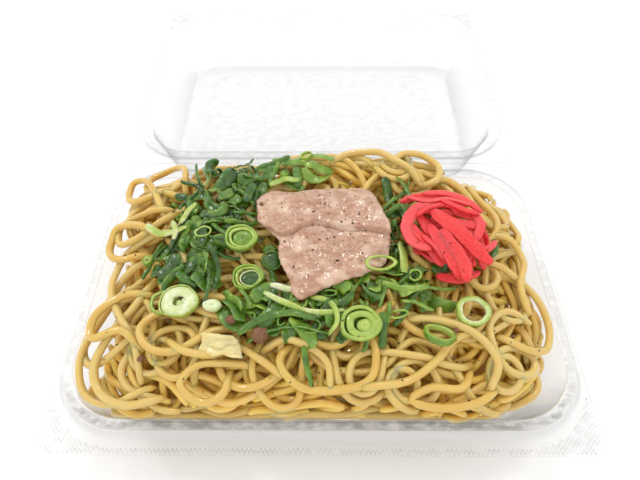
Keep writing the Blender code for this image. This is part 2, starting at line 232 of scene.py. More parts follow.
class Relief:
    """A height map over a level rectangle."""

    def __init__(self, low, high, cell, start=0.0, wraps=False):
        self.low, self.cell, self.wraps = low, cell, wraps
        shape = [int(round((high[axis] - low[axis]) / cell)) + 1 for axis in (0, 1)]
        self.height = np.full(shape, float(start))

    def index(self, x, y):
        i = np.rint((np.asarray(x) - self.low[0]) / self.cell).astype(int)
        j = np.rint((np.asarray(y) - self.low[1]) / self.cell).astype(int)
        i = i % self.height.shape[0] if self.wraps else np.clip(i, 0, self.height.shape[0] - 1)
        return i, np.clip(j, 0, self.height.shape[1] - 1)

    def at(self, x, y):
        return self.height[self.index(x, y)]

    def raise_to(self, x, y, z):
        np.maximum.at(self.height, self.index(x, y), z)

    def grid(self):
        i, j = np.indices(self.height.shape)
        return self.low[0] + i * self.cell, self.low[1] + j * self.cell

    def copy(self):
        other = Relief.__new__(Relief)
        other.low, other.cell, other.wraps = self.low, self.cell, self.wraps
        other.height = self.height.copy()
        return other

    def lowered(self, depth):
        other = self.copy()
        other.height = self.height - depth
        return other


def tree_of(mesh, points):
    return BVHTree.FromPolygons(points, [tuple(face.vertices) for face in mesh.polygons])


def solid_tree(node, half_turn=False):
    """A CAD node's surface, at rest or with the lid shut."""
    mesh = frame["nodes"][node].data
    points = [vertex.co / MM for vertex in mesh.vertices]
    if half_turn:
        points = [Vector((p.x, 2 * HINGE[1] - p.y, 2 * HINGE[2] - p.z)) for p in points]
    return tree_of(mesh, points)


def piece_tree(piece):
    """A piece's surface, in millimetres."""
    return tree_of(piece.data, [vertex.co / MM for vertex in piece.data.vertices])


def cast_over(*trees, from_below=False, miss=0.0):
    """A height map of the first surface met from above, or from below."""
    relief = Relief(FIELD_LOW, FIELD_HIGH, CELL)
    x, y = relief.grid()
    found = np.full(x.shape, miss, float)
    start, way = (0.0, 1.0) if from_below else (120.0, -1.0)
    for place in np.ndindex(x.shape):
        for tree in trees:
            hit = tree.ray_cast(Vector((x[place], y[place], start)), Vector((0, 0, way)))[0]
            if hit is not None:
                found[place] = hit.z if from_below else max(found[place], hit.z)
    relief.height = found
    return relief


def into_rectangle(x, y, half, corners, middle=(0.0, 0.0)):
    """Distance inside a rounded rectangle and the inward direction.

    corners are the radii at -X-Y, +X-Y, -X+Y and +X+Y.
    """
    x = x - middle[0]
    y = y - middle[1]
    corner = np.asarray(corners, float)[(x > 0).astype(int) + 2 * (y > 0).astype(int)]
    past_x = np.abs(x) - (half[0] - corner)
    past_y = np.abs(y) - (half[1] - corner)
    reach = np.hypot(np.maximum(past_x, 0), np.maximum(past_y, 0))
    inside = corner - np.where(reach > 0, reach, np.maximum(past_x, past_y))
    in_corner = (past_x > 0) & (past_y > 0)
    from_side = past_x > past_y
    out_x = np.where(in_corner, past_x, from_side * 1.0)
    out_y = np.where(in_corner, past_y, (~from_side) * 1.0)
    size = np.maximum(np.hypot(out_x, out_y), 1e-6)
    return inside, -np.sign(x) * out_x / size, -np.sign(y) * out_y / size


# ==== strands ====

EDGE_REACH = 9.0  # how near the edge a strand starts to turn back
EDGE_TURN = 0.16  # and how tightly it then turns, 1/mm
TIGHTEST = 0.2  # tightest bend of a strand, 1/mm
OVER_MEAN = 1.2  # how far a strand may stand over the goal
SPREAD = 0.9  # what each ring of a strand is worth by itself
SHORTEST = 14  # rings
TUCK_LENGTH = 10.0
ENOUGH = 8.0  # the least that a strand must be worth
TRIES = 18  # paths tried for each strand
REFUSALS = 25  # how often no path will do before laying stops


def wander(random, starts, headings, steps, curl, memory, region):
    """Curly paths from given starts, turning back at the region's edge: (paths, insides)."""
    x, y = starts[:, 0].copy(), starts[:, 1].copy()
    count = len(x)
    bend = random.normal(0.0, curl, count)
    paths, insides = [], []
    for _ in range(steps):
        inside, in_x, in_y = region(x, y)
        paths.append(np.stack((x, y), 1))
        insides.append(inside)
        towards = np.cos(headings) * in_x + np.sin(headings) * in_y
        side = np.sign(np.cos(headings) * in_y - np.sin(headings) * in_x)
        push = np.clip(1.0 - inside / EDGE_REACH, 0.0, 1.5) * np.clip(0.3 - towards, 0.0, 1.0)
        bend += -bend * STEP / memory
        bend += random.normal(0.0, curl * math.sqrt(2 * STEP / memory), count)
        headings = headings + (np.clip(bend, -TIGHTEST, TIGHTEST) + side * push * EDGE_TURN) * STEP
        x = x + np.cos(headings) * STEP
        y = y + np.sin(headings) * STEP
    return np.stack(paths, 1), np.stack(insides, 1)


def across_path(path, radius, samples=7, share=0.9):
    """Points across a path's width: x, y and how far off its middle each lies."""
    tangents = unit(np.gradient(path, axis=0))
    offsets = np.linspace(-share, share, samples) * radius
    x = path[:, :1] - tangents[:, 1:] * offsets
    y = path[:, 1:] + tangents[:, :1] * offsets
    return x, y, offsets


def smooth_along(values):
    """Two running means over five values."""
    for _ in range(2):
        values = np.convolve(np.pad(values, 2, "edge"), np.ones(5) / 5, "valid")
    return values


def run_along(points):
    """How far along a line each of its points is."""
    return np.concatenate(([0.0], np.cumsum(np.linalg.norm(np.diff(points, axis=0), axis=1))))


def places_along(points, places):
    """Points at given distances along a line."""
    run = run_along(points)
    return np.column_stack([np.interp(places, run, points[:, axis]) for axis in (0, 1)])


def rest_height(relief, path, half_width, half_height, stiff, sink):
    """Height of a strand's middle, laid over a relief and bending no tighter than stiff."""
    x, y, offsets = across_path(path, half_width)
    rise = half_height * np.sqrt(1.0 - (offsets / half_width) ** 2)
    need = (relief.at(x, y) + rise).max(axis=1)
    run = run_along(path)
    bridge = need[None, :] - (run[:, None] - run[None, :]) ** 2 / (2 * stiff)
    return smooth_along(bridge.max(axis=1)) - sink


def finer(values, times):
    """Values between the given ones, evenly spaced."""
    places = np.linspace(0, len(values) - 1, (len(values) - 1) * times + 1)
    columns = np.atleast_2d(np.asarray(values).T)
    filled = [np.interp(places, np.arange(len(values)), column) for column in columns]
    return np.stack(filled, -1) if np.ndim(values) > 1 else filled[0]


def stamp(relief, path, heights, half_width, half_height):
    """Adds a laid strand to the relief."""
    path, heights = finer(path, 4), finer(heights, 4)
    x, y, offsets = across_path(path, half_width, 11, 0.94)
    top = heights[:, None] + half_height * np.sqrt(1.0 - (offsets / half_width) ** 2)
    relief.raise_to(x, y, top)


def best_stretch(values):
    """The run of values with the greatest sum: (first, last, sum)."""
    sums = np.concatenate(([0.0], np.cumsum(values)))
    lowest = np.minimum.accumulate(sums)
    last = int(np.argmax(sums - lowest))
    first = int(np.argmin(sums[: last + 1]))
    return first, last, sums[last] - sums[first]


def lay_strands(
    random, relief, goal, ceiling, region, grain, limit, curl, lengths, radius, sink, flat=1.0,
    shortest=SHORTEST, enough=ENOUGH, stiffness=(5.0, 13.0), over=OVER_MEAN, whole=False,
    memory=24.0,
):
    """Strands laid one by one where the heap is lowest, until it is as high as its goal."""
    strands = []
    refused = 0
    x, y = relief.grid()
    open_cells = region(x, y)[0] > radius
    for _ in range(limit):
        lack = np.where(open_cells, np.clip(goal.height - relief.height, 0.0, None), 0.0)
        weights = lack.ravel() ** 3
        if weights.sum() <= 0:
            break
        picks = random.choice(weights.size, TRIES, p=weights / weights.sum())
        starts = np.column_stack((x.ravel()[picks], y.ravel()[picks]))
        along, pull = grain(*starts.T)
        headings = along + random.normal(0.0, 1.0, TRIES) * (1.6 - 1.35 * pull)
        headings += math.pi * random.integers(0, 2, TRIES)
        steps = int(random.uniform(*lengths) / STEP)
        size = radius * random.uniform(0.9, 1.07)
        stiff = random.uniform(*stiffness)
        paths, insides = wander(random, starts, headings, steps, curl, memory, region)
        best, best_gain = None, -math.inf
        for path, inside in zip(paths, insides):
            heights = rest_height(relief, path, size, size * flat, stiff, sink)
            top = heights + size * flat
            room = ceiling.at(*path.T) - top
            miss = goal.at(*path.T) - top
            tangents = np.gradient(path, axis=0)
            wanted, strength = grain(*path.T)
            aligned = np.cos(np.arctan2(tangents[:, 1], tangents[:, 0]) - wanted) ** 2
            value = np.clip(miss, -9, 3) + SPREAD - 5.0 * np.clip(-miss - over, 0, None)
            value += 0.8 * strength * (aligned - 0.5)
            value -= 30.0 * np.clip(0.5 - room, 0, None)
            value -= 8.0 * np.clip(radius * 0.9 - inside, 0, None)
            first, last, gain = (0, len(path), value.sum()) if whole else best_stretch(value)
            if last - first >= shortest and gain > best_gain:
                best, best_gain = (path[first:last], heights[first:last]), gain
        if best is None or best_gain < enough:
            refused += 1
            if refused > REFUSALS:
                break
            continue
        refused = 0
        path, heights = best
        stamp(relief, path, heights, size, size * flat)
        strands.append((path, heights, size))
    return strands


def noodle_tubes(name, section, strands, place, goal=None, tuck=0.0):
    """A piece of round-square tubes of slightly uneven thickness, one for each laid strand.

    Their ends dip by tuck, so that they go in under their neighbours.
    """
    bundle = Bundle(superellipse(*section))
    for path, heights, size in strands:
        rings = len(path)
        to_end = np.minimum(np.arange(rings), np.arange(rings)[::-1]) * STEP
        from_wall = np.clip(heap_region(*path.T)[0] / 8.0 - 0.3, 0, 1)
        heights = heights - tuck * from_wall * np.clip(1.0 - to_end / TUCK_LENGTH, 0, 1) ** 2
        centres, ups = place(path, heights)
        wobble = np.sin(np.arange(rings) * random.uniform(0.12, 0.3) + random.uniform(0, 6))
        thick = size * (1.0 + 0.035 * wobble)
        twist = random.uniform(0, math.pi) + np.arange(rings) * random.normal(0, 0.03)
        # How far each ring lies under the goal, kept as the extra attribute, from which the noodle
        # look paints a glow of bounced light into the shaded gaps.
        sunk = 0.0
        if goal is not None:
            sunk = np.clip(goal.at(*path.T) - heights - size, 0, 6) / 6
        bundle.add(centres, ups, thick, thick * 0.95, random.random(), sunk, twist)
    place_piece(bundle.piece(name, noodle_mat), "tray", "noodle")


def upright(path, heights):
    """Points in space over a path, and the way up at each."""
    centres = np.column_stack((path, heights))
    return centres, np.broadcast_to((0.0, 0.0, 1.0), centres.shape)


# ==== materials ====


class Look:
    """A procedural material being wired up."""

    def __init__(self, name):
        self.material = bpy.data.materials.new(name)
        self.material.use_nodes = True
        self.tree = self.material.node_tree
        self.shader = self.tree.nodes["Principled BSDF"]
        self.place = self.tree.nodes.new("ShaderNodeTexCoord").outputs["Object"]

    def node(self, kind, inputs=None, **settings):
        made = self.tree.nodes.new(kind)
        for key, value in settings.items():
            setattr(made, key, value)
        for key, value in (inputs or {}).items():
            self.fill(made.inputs[key], value)
        return made

    def fill(self, socket, value):
        """Links a socket to another one, or gives it a value."""
        if isinstance(value, bpy.types.NodeSocket):
            self.tree.links.new(value, socket)
        else:
            socket.default_value = (*value, 1.0) if socket.type == "RGBA" else value

    def set(self, **values):
        for key, value in values.items():
            self.fill(self.shader.inputs[key.replace("_", " ")], value)

    def noise(self, size, detail=3.0, roughness=0.55, stretch=(1, 1, 1)):
        """Noise whose features are about that many millimetres across."""
        moved = self.node("ShaderNodeMapping", {"Vector": self.place, "Scale": stretch})
        values = {"Scale": 1 / (size * MM), "Detail": detail, "Roughness": roughness}
        values["Vector"] = moved.outputs["Vector"]
        return self.node("ShaderNodeTexNoise", values).outputs["Fac"]

    def attribute(self, label):
        return self.node("ShaderNodeAttribute", attribute_name=label).outputs["Fac"]

    def ramp(self, factor, *stops):
        ramp = self.node("ShaderNodeValToRGB", {"Fac": factor})
        elements = ramp.color_ramp.elements
        while len(elements) < len(stops):
            elements.new(0.5)
        for element, (position, colour) in zip(elements, stops):
            element.position = position
            element.color = (*colour, 1.0) if np.ndim(colour) else (colour, colour, colour, 1.0)
        return ramp.outputs["Color"]

    def mix(self, factor, first, second):
        mixed = {0: factor, 6: first, 7: second}
        return self.node("ShaderNodeMix", mixed, data_type="RGBA").outputs[2]

    def maths(self, operation, first, second):
        return self.node("ShaderNodeMath", {0: first, 1: second}, operation=operation).outputs[0]

    def toned(self, base, pale):
        """The base colour, paler where the tone is high."""
        return self.mix(self.maths("MULTIPLY", self.attribute("tone"), 0.8), base, pale)

    def rough(self, size, low, high):
        """Roughness that wanders between two (noise, roughness) stops."""
        self.set(Roughness=self.ramp(self.noise(size), low, high))

    def bump(self, height, distance):
        """Fine relief of about that many millimetres."""
        values = {"Height": height, "Distance": distance * MM, "Strength": 1.0}
        normal = self.node("ShaderNodeBump", values).outputs["Normal"]
        self.set(Normal=normal, Coat_Normal=normal)

    def flesh(self, weight, radius, scale):
        self.set(Subsurface_Weight=weight, Subsurface_Radius=radius, Subsurface_Scale=scale * MM)

    def wet(self, coat, coat_roughness, specular=0.12):
        self.set(Coat_Weight=coat, Coat_Roughness=coat_roughness, Specular_IOR_Level=specular)


def noodle_look():
    look = Look("noodle")
    base = look.ramp(look.noise(11.0), (0.32, (0.64, 0.40, 0.080)), (0.68, (0.69, 0.485, 0.125)))
    # Strands lying deep in the heap (the extra attribute) are painted a brighter, deeper orange: a
    # painted glow of bounced light in the shaded gaps.
    sunk = look.ramp(look.attribute("extra"), (0.12, 0.0), (0.80, 0.92))
    pale = look.toned(base, (0.69, 0.53, 0.195))
    look.set(Base_Color=look.mix(sunk, pale, (1.0, 0.64, 0.14)))
    look.rough(3.0, (0.35, 0.26), (0.7, 0.42))
    look.flesh(0.6, (1.0, 0.6, 0.2), 3.0)
    look.wet(0.9, 0.07)
    look.bump(look.noise(1.6, 2.0), 0.10)
    return look.material


def clear_look():
    """Clear sheet: see-through, greyer and glossier edge on and where it is bent. The grey is
    painted shade on its see-through tint, in place of the dark lines that refraction draws; where
    the tone attribute is negative it mixes in more gloss for a bright line instead.
    """
    look = Look("clear_plastic")
    nodes, links = look.tree.nodes, look.tree.links
    waves = look.node(
        "ShaderNodeBump",
        {"Height": look.noise(14.0, 2.0), "Distance": 0.16 * MM, "Strength": 0.6},
    ).outputs["Normal"]
    facing = look.node("ShaderNodeLayerWeight", {"Blend": 0.5, "Normal": waves}).outputs["Facing"]
    through = look.node("ShaderNodeBsdfTransparent")
    # Painted shade: the see-through tint greys edge on and, with streaks, where the tone marks a
    # bend.
    tint = look.ramp(facing, (0.45, (0.999, 0.999, 0.999)), (0.97, (0.80, 0.805, 0.81)))
    streaks = look.noise(4.5, 4.0, 0.6, (1.0, 1.8, 1.8))
    bent = look.ramp(streaks, (0.38, (0.70, 0.70, 0.69)), (0.62, (0.97, 0.97, 0.975)))
    bend = look.attribute("tone")
    painted_shade = look.maths("MAXIMUM", bend, 0.0)
    links.new(look.mix(painted_shade, tint, bent), through.inputs["Color"])
    gloss = look.node("ShaderNodeBsdfGlossy", {"Roughness": 0.06, "Normal": waves})
    steep = look.maths("MULTIPLY", look.maths("POWER", facing, 5.0), 0.9)
    shine = look.maths("MAXIMUM", look.maths("MULTIPLY", bend, -1.0), 0.035)
    blended = look.node("ShaderNodeMixShader", {"Fac": look.maths("ADD", steep, shine)})
    links.new(through.outputs[0], blended.inputs[1])
    links.new(gloss.outputs[0], blended.inputs[2])
    links.new(blended.outputs[0], nodes["Material Output"].inputs["Surface"])
    return look.material


def onion_look():
    look = Look("onion_leaf")
    streak, patch = (
        look.maths("MULTIPLY", look.maths("SUBTRACT", grain, 0.5), strength)
        for grain, strength in ((look.noise(1.6, 4.0, 0.6), 0.32), (look.noise(5.0, 2.0), 0.3))
    )
    colour = look.ramp(
        look.maths("ADD", look.attribute("tone"), look.maths("ADD", streak, patch)),
        (0.0, (0.020, 0.062, 0.008)),
        (0.25, (0.068, 0.165, 0.014)),
        (0.50, (0.20, 0.34, 0.032)),
        (0.75, (0.46, 0.57, 0.12)),
        (1.0, (0.80, 0.83, 0.58)),
    )
    look.set(Base_Color=colour)
    look.rough(2.0, (0.3, 0.22), (0.7, 0.38))
    look.flesh(0.3, (0.5, 1.0, 0.25), 1.2)
    look.wet(1.0, 0.06)
    look.bump(look.noise(1.2, 2.0), 0.2)
    return look.material


def ginger_look():
    look = Look("ginger")
    fibre = look.noise(1.0, 4.0, 0.65, (0.8, 1.4, 1.0))
    deep = look.ramp(fibre, (0.32, (0.62, 0.006, 0.010)), (0.68, (0.92, 0.05, 0.045)))
    look.set(Base_Color=look.toned(deep, (0.93, 0.12, 0.12)))
    look.rough(1.8, (0.3, 0.24), (0.7, 0.42))
    look.flesh(0.5, (1.0, 0.3, 0.25), 2.2)
    look.wet(0.6, 0.08)
    look.bump(fibre, 0.30)
    return look.material


def pork_look():
    look = Look("pork")
    grain = look.noise(1.8, 5.0, 0.65, (0.7, 1.3, 1.0))
    lean = look.ramp(grain, (0.34, (0.40, 0.20, 0.12)), (0.66, (0.60, 0.36, 0.25)))
    fat = look.ramp(look.noise(7.0, 4.0), (0.48, 0.0), (0.62, 0.85))
    look.set(Base_Color=look.mix(fat, lean, (0.72, 0.51, 0.37)))
    look.rough(1.1, (0.32, 0.18), (0.68, 0.45))
    look.flesh(0.2, (1.0, 0.5, 0.3), 1.2)
    look.wet(1.0, 0.06)
    look.bump(look.noise(1.3, 1.0, 0.4), 0.34)
    return look.material


def speck_look(name, dark, light):
    look = Look(name)
    look.set(Base_Color=look.ramp(look.noise(0.5), (0.35, dark), (0.65, light)), Roughness=0.6)
    look.bump(look.noise(0.3), 0.05)
    return look.material


def cabbage_look():
    look = Look("cabbage")
    veins = look.noise(2.2, 4.0, 0.6, (1, 3, 1))
    look.set(Base_Color=look.ramp(veins, (0.35, (0.70, 0.54, 0.20)), (0.7, (0.80, 0.71, 0.36))))
    look.set(Roughness=0.34)
    look.flesh(0.35, (1.0, 0.8, 0.4), 1.0)
    look.wet(0.8, 0.08)
    look.bump(veins, 0.15)
    return look.material


# ==== the pack ====

ROUND_STEPS = 14


def ring_points(half, near, far, z, middle_y=0.0, sides=10):
    """A level rounded rectangle with its straight sides cut up evenly."""
    points = []
    turns = (
        (half[0], half[1], far, 0),
        (-half[0], half[1], far, 90),
        (-half[0], -half[1], near, 180),
        (half[0], -half[1], near, 270),
    )
    for corner_x, corner_y, radius, start in turns:
        angles = np.radians(start + np.linspace(0, 90, ROUND_STEPS + 1))
        x = corner_x - math.copysign(radius, corner_x) + radius * np.cos(angles)
        y = corner_y - math.copysign(radius, corner_y) + radius * np.sin(angles)
        points.append(np.column_stack((x, y)))
    ring = []
    shares = np.linspace(0, 1, sides + 1)[1:-1, None]
    for corner, following in zip(points, points[1:] + points[:1]):
        ring += [corner, corner[-1] + (following[0] - corner[-1]) * shares]
    ring = np.concatenate(ring)
    return np.column_stack((ring[:, 0], ring[:, 1] + middle_y, np.full(len(ring), z)))


def bevelled(stations, reach, steps=4):
    """Stations with each inner bend rounded off within reach."""
    stations = [np.array(station, float) for station in stations]
    smooth = [stations[0]]
    for before, here, after in zip(stations, stations[1:], stations[2:]):
        back, ahead = before - here, after - here
        back_share = min(reach / max(np.linalg.norm(back[[0, 2]]), 1e-6), 0.45)
        ahead_share = min(reach / max(np.linalg.norm(ahead[[0, 2]]), 1e-6), 0.45)
        first, last = here + back * back_share, here + ahead * ahead_share
        for share in np.linspace(0, 1, steps):
            smooth.append(
                first * (1 - share) ** 2 + 2 * here * share * (1 - share) + last * share**2
            )
    smooth.append(stations[-1])
    return smooth


def sheet_shell(name, stations, mat, middle_y=0.0, front_only=0.0):
    """A thin closed shell.

    Stations are (half x, half y, z, near radius, far radius, greyness); greyness is painted shade on
    the see-through tint, and a negative greyness is a bright line of extra gloss. front_only is how
    much of it is lost away from the front.
    """
    stations = bevelled(stations, 1.3)
    rings = [ring_points(s[:2], s[3], s[4], s[2], middle_y) for s in stations]
    upper = np.stack(rings)
    run = np.gradient(upper, axis=0)
    around = np.roll(upper, -1, axis=1) - np.roll(upper, 1, axis=1)
    normal = unit(np.cross(around, run))
    if normal[0, :, 2].mean() < 0:
        normal = -normal
    lower = upper - normal * SHEET
    rows = np.concatenate((upper, lower[::-1]))
    # The painted shade of each station, and its bright lines of gloss, become the tone.
    painted_shade_and_shine = np.array([station[5] for station in stations])
    kept = 1.0 - front_only * np.clip((rows[:, :, 1] + 50.0) / 10.0, 0, 1)
    tones = np.concatenate((painted_shade_and_shine, painted_shade_and_shine[::-1]))[:, None] * kept
    faces = loft_faces(*rows.shape[:2])
    return mesh_piece(name, rows.reshape(-1, 3), faces, mat, tones.ravel())


def partway(first, last, share, painted_shade):
    """A station between two others."""
    return (*(a + (b - a) * share for a, b in zip(first[:5], last[:5])), painted_shade)


def grown(half, more):
    """Half sizes with the same amount added to each."""
    return [size + more for size in half]


def tray_stations():
    ridge = FLANGE_Z + RIDGE_RISE
    inner = FLOOR_CORNER - 3.0
    # The last value of each station is the painted shade on the clear tint there; a negative one is
    # a bright line of extra gloss.
    floor = (*grown(FLOOR_HALF, -3.4), SHEET, inner, inner, 0.0)
    bottom = (*grown(FLOOR_HALF, -0.6), WALL_FOOT, FLOOR_CORNER, FLOOR_CORNER, 0.1)
    rim = (*RIM_HALF, ridge, RIM_CORNER, RIM_CORNER, -0.9)
    crest = (*CREST_HALF, ridge, RIM_CORNER + 3, RIM_CORNER + 3, -0.6)
    foot = (*FOOT_HALF, FLANGE_Z, RIM_CORNER + 4, RIM_CORNER + 4, 0.05)
    edge = (*FLANGE_HALF, FLANGE_Z, 4.0, 9.0, 0.25)
    return [
        floor,
        bottom,
        partway(bottom, rim, 0.96, 0.1),
        rim,
        partway(rim, crest, 0.2, 0.95),
        partway(rim, crest, 0.85, 0.95),
        crest,
        foot,
        partway(foot, edge, 0.12, 0.0),
        partway(foot, edge, 0.9, 0.0),
        edge,
    ]


def lid_stations():
    groove = FLANGE_Z - RIDGE_RISE - 0.2
    # The last value of each station is the painted shade on the clear tint there.
    panel = (*LID_PANEL_HALF, SHEET, 10.0, 10.0, 0.12)
    side = (*LID_SIDE_HALF, LID_BORDER_Z, 14.0, 14.0, 0.22)
    rim = (*RIM_HALF, groove, RIM_CORNER, RIM_CORNER, 0.22)
    crest = (*grown(CREST_HALF, 0.7), groove, RIM_CORNER + 4, RIM_CORNER + 4, 0.3)
    foot = (*grown(FOOT_HALF, 0.7), FLANGE_Z, RIM_CORNER + 6, RIM_CORNER + 6, 0.2)
    edge = (*FLANGE_HALF, FLANGE_Z, 9.0, 4.0, 0.25)
    return [
        panel,
        partway(panel, side, 0.15, 0.03),
        partway(panel, side, 0.85, 0.03),
        side,
        partway(side, rim, 0.12, 0.02),
        partway(side, rim, 0.9, 0.0),
        rim,
        crest,
        foot,
        partway(foot, edge, 0.85, 0.0),
        edge,
    ]


# ==== build: pack ====

clear = clear_look()
tray_sheet = sheet_shell("tray_sheet", tray_stations(), clear, front_only=0.7)
place_piece(tray_sheet, "tray", "clear_plastic", "pack_base")
lid_sheet = sheet_shell("lid_sheet", lid_stations(), clear, LID_MIDDLE_Y)
place_piece(lid_sheet, "lid", "clear_plastic", "pack_lid")


def knurl(name, middle_y, side):
    """Tiny four-sided points pressed into the gripping corners and along the edge.

    They stand up along the near edge where side is -1, and down along the far edge where it
    is 1, so that those of the closed lid are on the outside too.
    """
    pitch, rise, reach = 1.5, 0.28, 0.62
    band, margin = 2.4, 0.9  # depth of the row along the edge, and the bare edge itself
    points, faces = [], []
    foot_z = FLANGE_Z if side < 0 else FLANGE_Z - SHEET
    end = FLANGE_HALF[0] - 1.0
    for row, off_y in enumerate(np.arange(-FLANGE_HALF[1] + 1.0, -40.0, pitch / 2)):
        for x in np.arange(-end + (row % 2) * pitch / 2, end, pitch):
            spot = (np.array(x), np.array(off_y))
            ridge = into_rectangle(*spot, grown(FOOT_HALF, 1.0), (RIM_CORNER + 4,) * 4)[0]
            edge = into_rectangle(*spot, FLANGE_HALF, (4,) * 4)[0]
            gripped = abs(x) > 70 or off_y < band - FLANGE_HALF[1]
            if not gripped or ridge > -0.5 or edge < margin:
                continue
            y = middle_y - side * off_y
            first = len(points)
            for out_x, out_y in ((reach, 0), (0, -side * reach), (-reach, 0), (0, side * reach)):
                points.append((x + out_x, y + out_y, foot_z + side * 0.05))
            points.append((x, y, foot_z - side * rise))
            faces += [(first + turn, first + (turn + 1) % 4, first + 4) for turn in range(4)]
            faces += [(first + 3, first + 2, first + 1), (first + 3, first + 1, first)]
    # The points carry a painted shade of 0.3 on the clear tint.
    piece = mesh_piece(name, points, [faces], clear, np.full(len(points), 0.3))
    piece.data.shade_flat()
    return piece


place_piece(knurl("tray_grip_points", 0.0, -1), "tray", "clear_plastic")
place_piece(knurl("lid_grip_points", LID_MIDDLE_Y, 1), "lid", "clear_plastic")

# ==== build: noodles ====

RIM_LEVEL = 26.0
noodle_goal = cast_over(solid_tree("noodles"))
ceiling = cast_over(solid_tree("pack_lid", True), from_below=True, miss=RIM_LEVEL)
noodle_goal.height = np.maximum(noodle_goal.height, RIM_LEVEL)
heap = noodle_goal.copy()
heap.height = np.maximum(noodle_goal.height - HEAP_DEPTH, LOWEST_LOOSE)
heap_start = heap.copy()


def wall_gap(x, y):
    """How far the heap stays off the wall: at the left, and in the right front corner."""
    left = np.clip((-60.0 - x) / 10.0, 0, 1) * np.clip((34.0 - y) / 14.0, 0, 1)
    left = left * np.clip((y + 44.0) / 14.0, 0, 1)
    corner = np.clip((x - 58.0) / 14.0, 0, 1) * np.clip((-22.0 - y) / 12.0, 0, 1)
    return 6.5 * left + 3.5 * corner


def heap_region(x, y):
    """Where strands may lie on the heap."""
    inside, in_x, in_y = into_rectangle(x, y, HEAP_HALF, HEAP_CORNERS)
    return inside - 0.8 * wall_gap(x, y), in_x, in_y


def under_lid(path, size):
    """The highest that the middle of a strand can lie under the closed lid."""
    reach = 1.1 * size + 0.4  # a strand at its thickest, and a gap
    room = ceiling.at(*path.T) - reach
    for angle in np.arange(0, 2 * math.pi, math.pi / 6):
        for share in (0.5, 0.85, 1.0):
            x, y = (path + reach * share * np.array((math.cos(angle), math.sin(angle)))).T
            room = np.minimum(room, ceiling.at(x, y) - reach * math.sqrt(1 - share**2))
    return room


def heap_grain(x, y):
    """Which way the strands run, and how strongly."""
    left = np.clip((-52.0 - x) / 20.0, 0, 1)
    front = np.clip((-28.0 - y) / 14.0, 0, 1)
    back = np.clip((y - 30.0) / 14.0, 0, 1)
    angle = np.where(left > 0.3, 1.45, 0.0)
    return angle, np.clip(left * 0.8 + front * 0.55 + back * 0.45, 0, 1)


random = np.random.default_rng(41)
noodle_mat = noodle_look()
strands = []
for below in LAYER_GOALS:
    strands += lay_strands(
        random, heap, noodle_goal.lowered(below), ceiling, heap_region, heap_grain,
        limit=300, curl=0.075, lengths=(60, 150), radius=NOODLE_RADIUS, sink=0.35,
    )
strands += lay_strands(
    random, heap, noodle_goal.lowered(COVER_GOAL), ceiling, heap_region, heap_grain,
    limit=75, curl=0.095, lengths=(80, 170), radius=NOODLE_RADIUS, sink=0.5,
    stiffness=(4.0, 9.0), over=2.4, whole=True, memory=20.0, enough=-160.0,
)
for path, heights, size in strands:
    heights[:] = np.maximum(np.minimum(heights, under_lid(path, size)), heights - 2.5)
noodle_tubes("noodle_strands_top", STRAND_SECTION, strands, upright, noodle_goal, 4.2)

# Side strands: u runs round the wall, v is height, and depth is inwards from the outside.
WALL_STEPS = 720
SIDE_LOW, SIDE_HIGH = 2.2, 25.5
SLOPE_LOW, SLOPE_HIGH = 24.0, 48.0


def wall_ring(z):
    """Evenly spaced points round the inside of the wall at a height."""
    share = (z - WALL_FOOT) / (FLANGE_Z + RIDGE_RISE - WALL_FOOT)
    half = [low + (high - low) * share for low, high in zip(FLOOR_HALF, RIM_HALF)]
    radius = FLOOR_CORNER + (RIM_CORNER - FLOOR_CORNER) * share
    ring = ring_points(half, radius, radius, z)[:, :2]
    closed = np.vstack((ring, ring[:1]))
    length = run_along(closed)[-1]
    return places_along(closed, np.linspace(0, length, WALL_STEPS, endpoint=False)), length


wall_low, _ = wall_ring(SIDE_LOW)
wall_high, WALL_LENGTH = wall_ring(SIDE_HIGH)
wall_way = np.roll(wall_high, -3, axis=0) - np.roll(wall_high, 3, axis=0)
WALL_INWARD = unit(np.column_stack((-wall_way[:, 1], wall_way[:, 0])))


def slope_rings():
    """Outlines of the heap at each level above the wall."""
    tree = solid_tree("noodles")
    rings = [wall_high]
    for level in np.arange(SLOPE_LOW + 1.0, SLOPE_HIGH + 0.1):
        ring = rings[-1].copy()
        for step, (place, inward) in enumerate(zip(wall_high, WALL_INWARD)):
            start = Vector((*(place - 8.0 * inward), level))
            hit = tree.ray_cast(start, Vector((*inward, 0.0)), 40.0)[0]
            if hit is not None:
                ring[step] = hit.xy
        rings.append(ring)
    return np.stack(rings)


def round_the_heap(rings, low, high):
    """How strands laid at (u, v) with a depth become points in space."""

    def place(path, depths):
        turn = path[:, 0] / WALL_LENGTH * WALL_STEPS
        first = np.floor(turn).astype(int) % WALL_STEPS
        after = (first + 1) % WALL_STEPS
        share = (turn - np.floor(turn))[:, None]
        climb = np.clip((path[:, 1] - low) / (high - low), 0, 0.9999) * (len(rings) - 1)
        level = np.floor(climb).astype(int)
        rise = (climb - level)[:, None]
        below = rings[level, first] * (1 - share) + rings[level, after] * share
        above = rings[level + 1, first] * (1 - share) + rings[level + 1, after] * share
        here = below + (above - below) * rise
        inward = WALL_INWARD[first]
        reach = depths + wall_gap(here[:, 0], here[:, 1])
        centres = np.column_stack((here + inward * reach[:, None], path[:, 1]))
        return centres, np.column_stack((inward, np.zeros(len(path))))

    return place


def side_region(u, v):
    half = (SIDE_HIGH - SIDE_LOW) / 2
    middle = (SIDE_HIGH + SIDE_LOW) / 2
    inside = half - np.abs(v - middle)
    return inside, np.zeros_like(u), -np.sign(v - middle)


def side_grain(u, v):
    return np.zeros_like(u), np.full(np.shape(u), 0.5)


